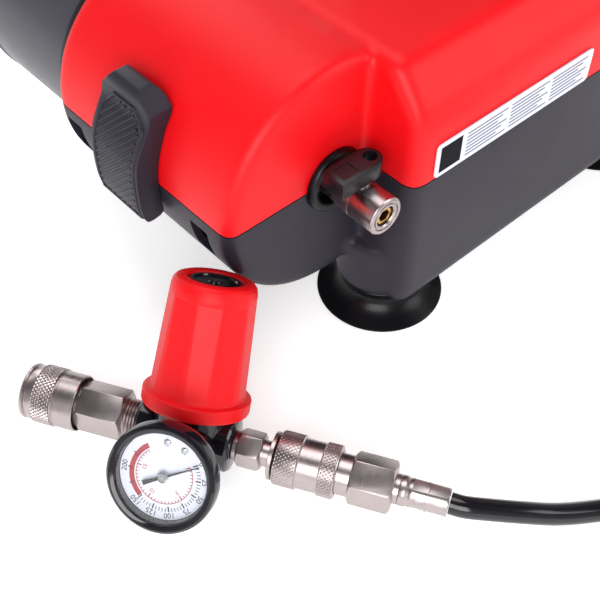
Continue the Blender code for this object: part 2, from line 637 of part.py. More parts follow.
def add_pump(materials):
    """Crankcase, crank, oil-free piston with its rod, cylinder and head."""
    top = SHAFT_Z + CASE_RISE
    case = box((-CASE_HALF, PUMP_Y - 0.018, SHAFT_Z - CASE_DROP), (CASE_HALF, PUMP_Y + 0.018, top))
    crankcase = add_object("crankcase", case, materials["cast"])
    room = box((-CASE_HALF + 0.004, PUMP_Y - 0.03, SHAFT_Z - CASE_DROP + 0.003),
               (CASE_HALF - 0.004, PUMP_Y + 0.014, top - 0.003))
    combine(crankcase, tool("crank_room", room), "DIFFERENCE")
    spigot = rod(BORE_RADIUS, (0, PUMP_Y, top), UP, -0.01, 0.01, 16)
    combine(crankcase, tool("spigot_hole", spigot), "DIFFERENCE")
    shaft_hole = rod(SHAFT_RADIUS + 0.001, (0, PUMP_Y, SHAFT_Z), REARWARD, 0, 0.03, 16)
    combine(crankcase, tool("shaft_hole", shaft_hole), "DIFFERENCE")

    disc = rod(0.012, (0, SHAFT_FRONT - GAP, SHAFT_Z), REARWARD, -0.005, 0, 16)
    crank = add_object("crank_disc", disc, materials["steel"], (0, SHAFT_FRONT, SHAFT_Z))
    pin = rod(PIN_RADIUS, (THROW, SHAFT_FRONT, SHAFT_Z), REARWARD, -0.017, -0.004, 10)
    combine(crank, tool("crank_pin", pin), "UNION")

    eye_y = SHAFT_FRONT - 0.0065
    eye = 2 * THROW + PIN_RADIUS + 0.0005
    big_end = tube(eye + 0.003, eye, (0, eye_y, SHAFT_Z), REARWARD, -0.008, 0, 20)
    piston = add_object("piston_and_rod", big_end, materials["cast"], (0, PUMP_Y, SHAFT_Z))
    crown = SHAFT_Z + ROD_LENGTH
    shank = box((-0.004, eye_y - 0.007, SHAFT_Z + eye + 0.001), (0.004, eye_y - 0.001, crown))
    combine(piston, tool("rod_shank", shank), "UNION")
    head = rod(BORE_RADIUS - 2 * GAP, (0, PUMP_Y, crown), UP, -0.003, 0.003, 16)
    combine(piston, tool("piston_crown", head), "UNION")

    r, outer = BORE_RADIUS, BORE_RADIUS + CYLINDER_WALL
    low, high = top + GAP, top + GAP + CYLINDER_HEIGHT
    fins = []
    for index in range(2):
        z = low + 0.008 + index * 0.010
        fins += [(outer, z), (outer + 0.004, z), (outer + 0.004, z + 0.003), (outer, z + 0.003)]
    profile = [(r, low), (outer, low), *fins, (outer, high), (r, high)]
    add_object("cylinder", turned(profile, (0, PUMP_Y, 0), UP, 16), materials["cast"])
    half = outer + 0.002
    head = box((-half, PUMP_Y - half, high + GAP), (half, PUMP_Y + half, high + GAP + HEAD_HEIGHT),
               0.002)
    add_object("cylinder_head", head, materials["cast"])
    return half, high + GAP + HEAD_HEIGHT / 2


def add_pipes(head_half, head_z, materials):
    cross = tube(PIPE_RADIUS, PIPE_RADIUS - 0.001, (0, CROSS_Y, SEAM_Z + CROSS_RISE), RIGHTWARD,
                 -COLLAR_END + GAP, COLLAR_END - GAP, 14)
    add_object("cross_pipe", cross, materials["copper"])
    x = head_half + GAP
    end = SEAM_Z + CROSS_RISE + PIPE_RADIUS + GAP
    route = [(x, PUMP_Y, head_z), (x + 0.006, PUMP_Y + 0.001, head_z),
             (x + 0.012, PUMP_Y + 0.010, head_z), (x + 0.012, CROSS_Y - 0.006, head_z),
             (x + 0.012, CROSS_Y, head_z - 0.005), (x + 0.012, CROSS_Y, end)]
    pipe("discharge_pipe", smooth_route(route, 3), 0.003, materials["copper"], 2)


# ---------------------------------------------------------------- panel parts


def add_panel_parts(materials):
    """Rocker switch in its frame, the pressure switch behind it, the cord gland and the label."""
    x, y, z = SWITCH_CENTRE
    wide, tall = SWITCH_HALF
    frame = add_object("switch_frame",
                       box((x - wide - 0.002, y + GAP, z - tall - 0.002),
                           (x + wide + 0.002, y + 0.003, z + tall + 0.002), 0.0006),
                       materials["black"])
    opening = box((x - wide + 0.002, y - 0.01, z - tall + 0.002),
                  (x + wide - 0.002, y + 0.01, z + tall - 0.002))
    combine(frame, tool("switch_opening", opening), "DIFFERENCE")
    half_wide, half_tall = wide - 0.002 - 2 * GAP, tall - 0.002 - 0.001
    outline = [(y - 0.010, -0.004), (y - 0.010, 0.004), (y + 0.0015, half_tall),
               (y + 0.0040, half_tall - 0.001), (y + 0.0022, 0), (y + 0.0040, 0.001 - half_tall),
               (y + 0.0015, -half_tall)]
    bm = prism([(a, b) for a, b in outline], 2 * half_wide)
    bm.transform(Matrix(((0, 0, 1, x - half_wide), (1, 0, 0, 0), (0, 1, 0, z), (0, 0, 0, 1))))
    centre = Matrix.Translation(SWITCH_CENTRE)
    bm.transform(centre @ Matrix.Rotation(ROCKER_TILT, 4, "X") @ centre.inverted())
    add_object("rocker_switch", bm, materials["red"], SWITCH_CENTRE)
    add_object("pressure_switch",
               box((-0.020, STATOR_Y + 0.012, SHAFT_Z + STATOR_RADIUS + 0.003),
                   (0.020, STATOR_Y + 0.044, BLOCK_TOP - WALL - 0.004), 0.002),
               materials["black"])
    profile = [(0, -0.008), (GLAND_RADIUS, -0.008), (GLAND_RADIUS, GAP), (0.0105, GAP),
               (0.0105, 0.003), (0.007, 0.014), (0.0035, 0.014), (0.0035, 0.002), (0, 0.002)]
    add_object("cord_gland", turned(profile, GLAND_CENTRE, REARWARD, 16), materials["rubber"])
    left = -BLOCK_WIDTH / 2 + LABEL_START
    label = box((left, FRONT_Y - GAP - 0.0006, SEAM_Z + 0.0012),
                (left + LABEL_LENGTH, FRONT_Y - GAP, SEAM_Z + 0.0012 + LABEL_HEIGHT))
    add_object("front_label", label, materials["label"])


# ---------------------------------------------------------------- hose and regulator


def tool_frame():
    """Local X along the air line to the hose, Y along the knob, Z out of the gauge's face."""
    away = Vector((-LINE_HEADING.y, LINE_HEADING.x, 0))
    knob = away * math.cos(KNOB_RISE) + UP * math.sin(KNOB_RISE)
    face = LINE_HEADING.cross(knob)
    turn = Matrix((LINE_HEADING, knob, face)).transposed().to_4x4()
    return Matrix.Translation(TOOL_POINT) @ turn


def in_tool_frame(bm):
    bm.transform(tool_frame())
    return bm


def hexagonal(across, start, end):
    """A hexagon bar along local X."""
    return rod(across / math.sqrt(3), (0, 0, 0), RIGHTWARD, start, end, 6)


def add_regulator(materials):
    cup = [(0, -0.0170), (0.0040, -0.0170), (0.0100, -0.0130), (0.0165, -0.0085),
           (0.0165, 0.0120), (0, 0.0120)]
    body = add_object("regulator_body", in_tool_frame(turned(cup, (0, 0, 0), REARWARD, 20)),
                      materials["gloss"], TOOL_POINT)
    parts = [rod(0.0100, (0, 0, 0), RIGHTWARD, -0.0215, 0.0190, 16),
             rod(0.0085, (GAUGE_SIDE, 0, 0), UP, -0.0175, GAUGE_FACE - GAUGE_DEPTH - 0.009, 14),
             rod(0.0110, (0, 0, 0), REARWARD, 0.0, 0.030, 16)]
    for index, part in enumerate(parts):
        combine(body, tool(f"regulator_lump_{index}", in_tool_frame(part)), "UNION")

    low, high = 0.0125, 0.0125 + KNOB_HEIGHT
    bonnet = 0.0110 + GAP
    profile = [(bonnet, low), (FLANGE_RADIUS - 0.001, low), (FLANGE_RADIUS, low + 0.002),
               (FLANGE_RADIUS - 0.001, low + 0.006), (KNOB_RADIUS, low + 0.0065),
               (KNOB_TOP_RADIUS, high - 0.002), (KNOB_TOP_RADIUS - 0.002, high),
               (0.0115, high), (0.0110, high - 0.003), (0, high - 0.003)]
    ceiling = 0.0303
    knob = turned_loop([*profile, (0, ceiling), (bonnet, ceiling)], (0, 0, 0), REARWARD, 24)
    add_object("regulator_knob", in_tool_frame(knob), materials["red"], TOOL_POINT)
    cap = turned([(0, high - 0.003 + GAP), (0.0106, high - 0.003 + GAP), (0.0106, high - 0.001),
                  (0, high - 0.0016)], (0, 0, 0), REARWARD, 20)
    add_object("knob_cap", in_tool_frame(cap), materials["gloss"], TOOL_POINT)


def add_gauge(materials):
    """Pressure gauge: case, dial, needle on its arbor and lens, in front of the regulator."""
    centre = (GAUGE_SIDE, 0, 0)
    back, rim, r = GAUGE_FACE - GAUGE_DEPTH, GAUGE_FACE, GAUGE_RADIUS
    inner = r - GAUGE_LIP
    stem = back - 0.009 + GAP
    floor = rim - GAUGE_RECESS
    profile = [(0, stem), (0.0055, stem), (0.0055, back), (r - 0.003, back), (r - 0.001, back + 0.004),
               (r, back + 0.006), (r, rim - 0.0015), (r - 0.001, rim), (inner, rim),
               (inner, floor), (0, floor)]
    origin = tool_frame() @ Vector(centre)
    add_object("gauge_case", in_tool_frame(turned(profile, centre, UP, 24)), materials["gloss"],
               origin)
    dial = tube(inner - GAP, 0.0012, centre, UP, floor + GAP, floor + 0.0012, 28)
    add_object("gauge_dial", in_tool_frame(dial), materials["label"], origin)
    lens = rod(inner - GAP, centre, UP, rim - 0.0022, rim - 0.0008, 28)
    add_object("gauge_lens", in_tool_frame(lens), materials["glass"], origin)
    level = floor + 0.0026
    outline = [(-0.0085, -0.0010), (0.0150, -0.0003), (0.0150, 0.0003), (-0.0085, 0.0010)]
    needle = prism(outline, 0.0006)
    needle.transform(Matrix.Translation((GAUGE_SIDE, 0, level))
                     @ Matrix.Rotation(NEEDLE_REST, 4, "Z"))
    needle_obj = add_object("gauge_needle", in_tool_frame(needle), materials["black"], origin)
    hub = rod(0.0022, centre, UP, level - 0.0007, level + 0.0010, 12)
    combine(needle_obj, tool("needle_hub", in_tool_frame(hub)), "UNION")


def add_couplings(materials):
    """Outlet coupler on the left of the regulator, plug and coupler on its hose side."""
    nickel = materials["nickel"]
    body = add_object("outlet_coupler_body", in_tool_frame(hexagonal(0.019, -0.0475, -0.0280)),
                      nickel, TOOL_POINT)
    barrel = [(0, -0.0400), (0.0050, -0.0400), (0.0050, -0.0700), (0.0100, -0.0700),
              (0.0100, -0.0470), (0.0078, -0.0465), (0.0078, -0.0215 - GAP), (0, -0.0215 - GAP)]
    combine(body, tool("outlet_barrel", in_tool_frame(turned(barrel, (0, 0, 0), RIGHTWARD, 16))),
            "UNION")
    bore = 0.0100 + GAP
    sleeve = [(bore, -0.0718), (0.0110, -0.0718), (0.0116, -0.0708), (0.0116, -0.0665),
              (0.0124, -0.0660), (0.0124, -0.0585), (0.0119, -0.0580), (0.0119, -0.0480),
              (0.0114, -0.0480), (0.0114, -0.0520), (bore, -0.0530)]
    add_object("outlet_coupler_sleeve", in_tool_frame(turned(sleeve, (0, 0, 0), RIGHTWARD, 18)),
               nickel, TOOL_POINT)

    plug = add_object("inlet_plug", in_tool_frame(hexagonal(0.0140, 0.0213, 0.0315)), nickel,
                      TOOL_POINT)
    stem = [(0, 0.0190 + GAP), (0.0062, 0.0190 + GAP), (0.0062, 0.0225), (0.0054, 0.0235),
            (0.0054, 0.0350), (0.0044, 0.0352), (0.0044, 0.0500), (0, 0.0500)]
    combine(plug, tool("plug_stem", in_tool_frame(turned(stem, (0, 0, 0), RIGHTWARD, 16))),
            "UNION")

    coupler = add_object("hose_coupler_body", in_tool_frame(hexagonal(0.0190, 0.0685, 0.0860)),
                         nickel, TOOL_POINT)
    barrel = [(0, 0.0540), (0.0047, 0.0540), (0.0047, 0.0352), (0.0095, 0.0352), (0.0095, 0.0372),
              (0.0085, 0.0376), (0.0085, 0.0700), (0, 0.0700)]
    tail = rod(0.0062, (0, 0, 0), RIGHTWARD, 0.0855, 0.0880, 14)
    combine(coupler, tool("coupler_barrel", in_tool_frame(turned(barrel, (0, 0, 0), RIGHTWARD, 20))),
            "UNION")
    combine(coupler, tool("coupler_tail", in_tool_frame(tail)), "UNION")
    bore = 0.0085 + GAP
    sleeve = [(bore, 0.0380), (0.0112, 0.0380), (0.0112, 0.0470), (0.0104, 0.0475),
              (0.0104, 0.0560), (0.0110, 0.0565), (0.0110, 0.0630), (bore, 0.0630)]
    add_object("hose_coupler_sleeve", in_tool_frame(turned(sleeve, (0, 0, 0), RIGHTWARD, 18)),
               nickel, TOOL_POINT)
    ferrule = [(0, 0.0880 + GAP), (0.0063, 0.0880 + GAP), (0.0063, 0.0940), (0.0055, 0.0950),
               (0.0055, HOSE_END), (0, HOSE_END)]
    add_object("hose_ferrule_tool", in_tool_frame(turned(ferrule, (0, 0, 0), RIGHTWARD, 12)),
               nickel)


def landed(points, start, end):
    """The drawn points, moved so that they land on the given ends. The three points at each
    end move together, so the hose leaves both ends straight."""
    points = [Vector(p) for p in points]
    at_start, at_end = Vector(start) - points[0], Vector(end) - points[-1]
    between = len(points) - 5
    shares = (min(1, max(0, (i - 2) / between)) for i in range(len(points)))
    return [p + at_start.lerp(at_end, share) for p, share in zip(points, shares)]


def add_hose(materials):
    """The free hose: two plain stretches and the wound coil between them."""
    port_y = LOBE_FRONT - VALVE_REACH - GAP
    ferrule = rod(0.0058, (TANK_SPREAD, port_y, SEAM_Z), REARWARD, -0.0176, 0, 12)
    add_object("hose_ferrule_port", ferrule, materials["nickel"])
    band, x, y = COIL_BAND, *COIL_CENTRE
    leave = (TANK_SPREAD, port_y - 0.0176 - GAP, SEAM_Z)
    port_route = landed(PORT_DROP, leave, (x + 0.0620, y + 0.0345, 0.0217))
    pipe("hose_tube_port", smooth_route(port_route, 2), HOSE_RADIUS, materials["hose"], 2)
    ring = tube(COIL_RADIUS + band, COIL_RADIUS - band, (x, y, 0), UP, 0, COIL_HEIGHT, 32)
    add_object("hose_coil", ring, materials["hose"])
    tool_route = landed(TOOL_RUN, TOOL_POINT + LINE_HEADING * (HOSE_END + GAP),
                        (x - 0.0648, y - 0.0289, 0.0046))
    pipe("hose_tube_tool", smooth_route(tool_route, 2), HOSE_RADIUS, materials["hose"], 2)


# ---------------------------------------------------------------- places worked out from the sizes

HANDLE_Y = (FRONT_Y + BLOCK_REAR) / 2
SWITCH_HALF = (0.0145, 0.0105)
SWITCH_CENTRE = (0.024, BLOCK_REAR, SEAM_Z + 0.018)
ROCKER_TILT = math.radians(6)
GLAND_RADIUS = 0.008
GLAND_CENTRE = (0.033, BLOCK_REAR, FOOT_HEIGHT + 0.030)
CROSS_RISE = 0.022
COLLAR_END = 0.050
BALL_RADIUS = 0.0065
STEM_RADIUS = 0.002
LEVER_EYE = 0.0026
PUMP_Y = FRONT_Y + 0.043
SHAFT_FRONT = PUMP_Y + 0.0075
CASE_RISE = 0.026
CASE_DROP = 0.028
BEARING_RADIUS = 0.009
CROSS_Y = PUMP_Y + 0.031
STATOR_Y = CROSS_Y + 0.011
GAUGE_SIDE = 0.0052
NEEDLE_REST = math.radians(30)
LABEL_START = 0.011
LABEL_LENGTH = 0.100
LABEL_HEIGHT = 0.0172
HOSE_END = 0.1080


def main():
    clear_scene()
    materials = {
        "red": finish("red_abs", (0.80, 0.012, 0.016), 0.35),
        "black": finish("charcoal_abs", (0.045, 0.038, 0.055), 0.45),
        "gloss": finish("black_gloss_plastic", (0.012, 0.011, 0.015), 0.15),
        "rubber": finish("black_rubber", (0.012, 0.012, 0.016), 0.5),
        "hose": finish("black_pvc_hose", (0.010, 0.009, 0.012), 0.2),
        "paint": finish("grey_tank_paint", (0.12, 0.11, 0.13), 0.4),
        "nickel": finish("nickel_plated_brass", (0.75, 0.72, 0.70), 0.25, 1.0),
        "brass": finish("brass", (0.75, 0.55, 0.25), 0.3, 1.0),
        "steel": finish("bright_steel", (0.6, 0.6, 0.6), 0.3, 1.0),
        "cast": finish("cast_aluminium", (0.55, 0.55, 0.56), 0.5, 1.0),
        "copper": finish("copper_pipe", (0.7, 0.35, 0.2), 0.3, 1.0),
        "label": finish("white_vinyl", (0.85, 0.85, 0.9), 0.4),
        "glass": finish("clear_lens", (0.9, 0.92, 0.95), 0.05),
    }
    sleeve = shared_cutters()
    housing_form("housing_hollow", WALL, EDGE_ROUND - WALL / 2)
    add_base(materials["black"])
    add_cover(materials["red"])
    for side in (-1, 1):
        add_tank(side, materials["paint"])
        add_tank_sleeve(side, sleeve, materials["rubber"])
        add_latch(side, materials)
    add_grommet(-1, "valve_grommet", materials["rubber"])
    add_grommet(1, "outlet_grommet", materials["rubber"])
    add_ball_valve(materials)
    add_outlet(materials["nickel"])
    add_safety_valve(materials)
    add_drain(materials)
    add_feet(materials["rubber"])
    add_handle(materials)
    add_motor(materials)
    add_pipes(*add_pump(materials), materials)
    add_panel_parts(materials)
    add_regulator(materials)
    add_gauge(materials)
    add_couplings(materials)
    add_hose(materials)


main()
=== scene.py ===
"""Looks for the portable air compressor: moulded shells, latches, fittings, gauge, hose,
studio and camera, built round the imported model."""

import json
import math

import bmesh
import bpy
from mathutils import Matrix, Vector


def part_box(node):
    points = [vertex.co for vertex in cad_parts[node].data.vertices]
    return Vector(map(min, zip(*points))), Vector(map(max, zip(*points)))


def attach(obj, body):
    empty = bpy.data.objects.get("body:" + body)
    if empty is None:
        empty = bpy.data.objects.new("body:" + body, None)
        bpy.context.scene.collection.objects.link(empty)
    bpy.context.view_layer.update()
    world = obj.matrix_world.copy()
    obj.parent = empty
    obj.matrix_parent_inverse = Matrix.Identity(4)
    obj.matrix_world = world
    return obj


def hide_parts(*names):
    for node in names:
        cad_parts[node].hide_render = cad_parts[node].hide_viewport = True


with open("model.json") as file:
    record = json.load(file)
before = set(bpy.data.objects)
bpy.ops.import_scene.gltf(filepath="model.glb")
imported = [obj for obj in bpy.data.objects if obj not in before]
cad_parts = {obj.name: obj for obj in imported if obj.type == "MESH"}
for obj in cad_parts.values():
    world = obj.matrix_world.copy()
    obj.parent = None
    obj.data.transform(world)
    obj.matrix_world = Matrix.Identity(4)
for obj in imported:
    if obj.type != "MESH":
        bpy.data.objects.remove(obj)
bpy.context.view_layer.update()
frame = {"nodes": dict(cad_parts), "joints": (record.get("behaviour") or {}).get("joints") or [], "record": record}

GAP = 0.0003
UP = Vector((0, 0, 1))
REARWARD = Vector((0, 1, 0))
RIGHTWARD = Vector((1, 0, 0))
JOINTS = {joint["name"]: joint for joint in frame["joints"]}
SLOT_OF = {part["node"]: part["material_slot"] for part in frame["record"]["subparts"]}


def middle(node):
    low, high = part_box(node)
    return (low + high) / 2


# ---------------------------------------------------------------- sizes read from the model

SHELL_LOW, SHELL_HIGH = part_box("base_shell")
SLEEVE_LOW, SLEEVE_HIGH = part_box("tank_sleeve_left")
SEAM = (SLEEVE_LOW.z + SLEEVE_HIGH.z) / 2
TANK_X = -(SLEEVE_LOW.x + SLEEVE_HIGH.x) / 2
LOBE_RADIUS = SHELL_HIGH.x - TANK_X
SLEEVE_RADIUS = (SLEEVE_HIGH.z - SLEEVE_LOW.z) / 2
TANK_LOW, TANK_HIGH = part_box("tank_left")
TANK_RADIUS = SEAM - TANK_LOW.z
LOBE_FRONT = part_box("valve_grommet")[1].y + GAP
SLEEVE_PROUD = 0.006  # how far the rubber sleeve stands out of the lobe
LOBE_REAR = SLEEVE_HIGH.y - SLEEVE_PROUD
FRONT, REAR = SHELL_LOW.y, SHELL_HIGH.y
BOTTOM = SHELL_LOW.z
BLOCK_HALF = 0.099
BLOCK_TOP = 0.141
BROW = 0.121
BROW_DEPTH = 0.016
TAIL_HALF = 0.065
DECK_TOP = 0.036
WALL = 0.003
BOSS_RADIUS, BOSS_TALL, BOSS_EDGE = 0.0215, 0.030, 0.001  # the posts over the feet
VALVE_RADIUS = 0.0085
GROMMET_HOLE = 0.0127
HANDLE_RADIUS = 0.006
HANDLE_BORE = 0.0063
GLAND_HOLE = 0.0083
LATCH_Y = JOINTS["left_latch_swing"]["pos_m"][1]
VALVE_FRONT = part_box("ball_valve_body")[0].y
STEM = Vector(JOINTS["outlet_valve_turn"]["pos_m"])
SHELL_SEAM = 0.00035  # half the dark line between base and cover
WINDOW_TOP, WINDOW_TALL, WINDOW_WIDE, WINDOW_DEEP = 0.006, 0.016, 0.011, 0.012
WINDOW_PLACES = (LOBE_FRONT + 0.014, LOBE_REAR - 0.0165)
SLOTS, SLOT_PITCH, SLOT_TALL, SLOT_FIRST = 5, 0.009, 0.004, 0.020
SLOT_LEFT, SLOT_RIGHT = -0.042, 0.018
FOOT_NODES = [f"suction_foot_{end}_{side}" for end in ("front", "rear")
              for side in ("left", "right")]

AIR_LINE = Vector(JOINTS["pressure_knob_turn"]["pos_m"])
KNOB_AXIS = Vector(JOINTS["pressure_knob_turn"]["axis"]).normalized()
GAUGE_AXIS = Vector(JOINTS["gauge_needle_swing"]["axis"]).normalized()
LINE_AXIS = KNOB_AXIS.cross(GAUGE_AXIS).normalized()
TOOL = (Matrix.Translation(AIR_LINE)
        @ Matrix((LINE_AXIS, KNOB_AXIS, GAUGE_AXIS)).transposed().to_4x4())
GAUGE_SIDE = (Vector(JOINTS["gauge_needle_swing"]["pos_m"]) - AIR_LINE).dot(LINE_AXIS)


# ---------------------------------------------------------------- camera

LENS = 63
ELEVATION, HEADING, ROLL = math.radians(49), math.radians(43), math.radians(1)
CAMERA_PLACE = (-0.3434, -0.3131, 0.3781)


def add_camera():
    data = bpy.data.cameras.new("camera")
    data.lens, data.sensor_width = LENS, 36
    camera = bpy.data.objects.new("camera", data)
    bpy.context.scene.collection.objects.link(camera)
    level = Vector((math.cos(HEADING), -math.sin(HEADING), 0))
    forward = Vector((math.cos(ELEVATION) * math.sin(HEADING),
                      math.cos(ELEVATION) * math.cos(HEADING), -math.sin(ELEVATION)))
    upright = level.cross(forward)
    right = math.cos(ROLL) * level + math.sin(ROLL) * upright
    top = math.cos(ROLL) * upright - math.sin(ROLL) * level
    turn = Matrix((right, top, -forward)).transposed().to_4x4()
    camera.matrix_world = Matrix.Translation(CAMERA_PLACE) @ turn
    bpy.context.scene.camera = camera


# ---------------------------------------------------------------- materials


def add(tree, kind, inputs=(), **settings):
    """A shader node with its settings, values and links."""
    made = tree.nodes.new(kind)
    for name, value in settings.items():
        setattr(made, name, value)
    for socket, value in dict(inputs).items():
        if isinstance(value, bpy.types.NodeSocket):
            tree.links.new(value, made.inputs[socket])
        else:
            made.inputs[socket].default_value = value
    return made


def linear(code):
    """An sRGB hex value as linear RGBA."""
    parts = [int(code[i:i + 2], 16) / 255 for i in (1, 3, 5)]
    return (*(p / 12.92 if p <= 0.04045 else ((p + 0.055) / 1.055) ** 2.4 for p in parts), 1.0)


def finish(name, code, shadow, roughness, spread=0.04, grain=0.5, depth=0.01, drift=30,
           stretch=(1, 1, 1), turn=0.0, **sockets):
    """A surface whose colour and roughness drift over `drift` mm and whose relief is `depth` mm
    deep at `grain` mm; stretch lengthens the relief into machining lines."""
    material = bpy.data.materials.new(name)
    material.use_nodes = True
    tree = material.node_tree
    shader = tree.nodes["Principled BSDF"]
    for socket, value in sockets.items():
        shader.inputs[socket.replace("_", " ")].default_value = value
    place = add(tree, "ShaderNodeTexCoord").outputs["Object"]
    slow = add(tree, "ShaderNodeTexNoise",
               {"Vector": place, "Scale": 1000 / drift, "Detail": 3.0}).outputs["Fac"]
    tone = add(tree, "ShaderNodeMix", {"Factor": slow, "A": linear(shadow), "B": linear(code)},
               data_type="RGBA")
    tree.links.new(tone.outputs["Result"], shader.inputs["Base Color"])
    laid = add(tree, "ShaderNodeMapping", {"Vector": place, "Rotation": (0, 0, turn)})
    drawn = add(tree, "ShaderNodeMapping", {"Vector": laid.outputs["Vector"], "Scale": stretch})
    fine = add(tree, "ShaderNodeTexNoise", {"Vector": drawn.outputs["Vector"],
                                            "Scale": 1000 / grain, "Detail": 2.0}).outputs["Fac"]
    both = add(tree, "ShaderNodeMath", {0: slow, 1: fine}, operation="MULTIPLY")
    rough = add(tree, "ShaderNodeMapRange",
                {"Value": both.outputs["Value"], "From Min": 0.1, "From Max": 0.4,
                 "To Min": roughness - spread, "To Max": roughness + spread})
    tree.links.new(rough.outputs["Result"], shader.inputs["Roughness"])
    relief = add(tree, "ShaderNodeBump",
                 {"Height": fine, "Strength": 1.0, "Distance": depth / 1000})
    tree.links.new(relief.outputs["Normal"], shader.inputs["Normal"])
    shader.inputs["Metallic"].default_value = sockets.get("Metallic", 0.0)
    return material


LINE_TURN = -math.atan2(LINE_AXIS.y, LINE_AXIS.x)
FINISHES = {
    # ABS, injection moulded in a fine spark-eroded tool: satin, with broad soft highlights
    "red_abs": finish("red_moulded_abs", "#e60c15", "#da0a12", 0.44, grain=0.45, depth=0.006,
                      IOR=1.53, Specular_IOR_Level=0.22),
    # the same plastic in charcoal, from a coarser tool, so it looks drier
    "charcoal_abs": finish("charcoal_moulded_abs", "#28242f", "#221f29", 0.48, grain=0.5,
                           depth=0.02, IOR=1.53, Specular_IOR_Level=0.26),
    # nylon with glass fibre, moulded: black, half matt
    "black_nylon": finish("black_moulded_nylon", "#131218", "#0f0e13", 0.34, grain=0.5,
                          depth=0.012, IOR=1.53, Specular_IOR_Level=0.35),
    # polished ABS: mirror-like black
    "black_gloss_plastic": finish("polished_black_abs", "#15141a", "#121117", 0.10, spread=0.03,
                                  grain=2.5, depth=0.002, IOR=1.53),
    # moulded nitrile rubber: near black with a slight oil sheen
    "black_rubber": finish("moulded_nitrile_rubber", "#08080b", "#0b0b0f", 0.30, grain=0.4,
                           depth=0.008, IOR=1.52, Specular_IOR_Level=0.22),
    # extruded polyurethane: glossy, with faint lines along it
    "black_pvc_hose": finish("extruded_polyurethane", "#111015", "#141319", 0.16, grain=3.0,
                             depth=0.01, IOR=1.51),
    # polyester powder coat on steel: semi-gloss with orange peel
    "grey_tank_paint": finish("grey_powder_coat", "#3d3b44", "#37353e", 0.36, grain=1.6,
                              depth=0.012, IOR=1.5),
    # nickel plate over turned brass: bright, with lathe lines round it
    "nickel_plated_brass": finish("nickel_plated_brass", "#b6abaa", "#a99e9e", 0.31, spread=0.05,
                                  grain=0.35, depth=0.0012, stretch=(1, 0.04, 0.04),
                                  turn=LINE_TURN, drift=9, Metallic=1.0),
    # free-cutting brass, turned
    "brass": finish("turned_brass", "#c9a45c", "#b98f48", 0.24, grain=0.4, depth=0.003,
                    drift=8, Metallic=1.0),
    # bright mild steel
    "bright_steel": finish("bright_steel", "#c9c9cc", "#b9b9bd", 0.18, grain=0.5, depth=0.002,
                           drift=12, Metallic=1.0),
    # gravity-cast aluminium: sandy skin
    "cast_aluminium": finish("cast_aluminium", "#b4b4b8", "#a5a5aa", 0.48, grain=0.8,
                             depth=0.05, Metallic=1.0),
    # drawn copper, slightly tarnished
    "copper_pipe": finish("drawn_copper", "#c9825e", "#b06d4c", 0.28, grain=0.6, depth=0.003,
                          drift=10, Metallic=1.0),
    # calendered vinyl film
    "white_vinyl": finish("white_vinyl_film", "#dfe1ee", "#d9dbea", 0.42, grain=1.2, depth=0.002,
                          IOR=1.5, Specular_IOR_Level=0.2),
    # cast acrylic, clear and thin
    "clear_lens": finish("clear_acrylic", "#ffffff", "#fafcff", 0.04, spread=0.01, grain=3.0,
                         depth=0.0005, IOR=1.49, Alpha=0.05, Specular_IOR_Level=0.15),
}
INKS = {
    "black": finish("black_screen_ink", "#101016", "#0c0c12", 0.6, grain=0.6, depth=0.002,
                    Specular_IOR_Level=0.1),
    "red": finish("red_screen_ink", "#a80c1c", "#9c0918", 0.6, grain=0.6, depth=0.002,
                  Specular_IOR_Level=0.1),
    "grey": finish("grey_screen_ink", "#72727e", "#6a6a76", 0.6, grain=0.6, depth=0.002,
                   Specular_IOR_Level=0.1),
}


# ---------------------------------------------------------------- shaping helpers


def in_place(bm, centre, axis):
    """A shape made round Z, laid along the axis through the centre."""
    turn = UP.rotation_difference(Vector(axis)).to_matrix().to_4x4()
    bm.transform(Matrix.Translation(centre) @ turn)
    return bm


def lathe(profile, centre=(0, 0, 0), axis=UP, segments=64, loop=False):
    """(radius, distance) points turned about an axis. A loop is a closed outline."""
    bm = bmesh.new()
    verts = [bm.verts.new((radius, 0, along)) for radius, along in profile]
    pairs = list(zip(verts, verts[1:]))
    if loop or profile[0][0] > 0:
        pairs.append((verts[-1], verts[0]))
    edges = [bm.edges.new(pair) for pair in pairs if pair[0].co.x > 0 or pair[1].co.x > 0]
    bmesh.ops.spin(bm, geom=verts + edges, cent=(0, 0, 0), axis=(0, 0, 1), angle=math.tau,
                   steps=segments, use_merge=True)
    bmesh.ops.remove_doubles(bm, verts=bm.verts, dist=1e-6)
    bmesh.ops.recalc_face_normals(bm, faces=bm.faces)
    return in_place(bm, centre, axis)


def rod(radius, centre, axis, start, end, segments=48):
    """A plain round bar between two distances along the axis."""
    return lathe([(0, start), (radius, start), (radius, end), (0, end)], centre, axis, segments)


def block(low, high):
    bm = bmesh.new()
    low, high = Vector(low), Vector(high)
    bmesh.ops.create_cube(bm, size=1)
    bmesh.ops.scale(bm, verts=bm.verts, vec=high - low)
    bmesh.ops.translate(bm, verts=bm.verts, vec=(low + high) / 2)
    return bm


def slab(outline, thickness):
    """An outline in XY, extruded up from z = 0."""
    bm = bmesh.new()
    face = bm.faces.new([bm.verts.new((x, y, 0)) for x, y in outline])
    grown = bmesh.ops.extrude_face_region(bm, geom=[face])["geom"]
    moved = [g for g in grown if isinstance(g, bmesh.types.BMVert)]
    bmesh.ops.translate(bm, verts=moved, vec=(0, 0, thickness))
    bmesh.ops.recalc_face_normals(bm, faces=bm.faces)
    return bm


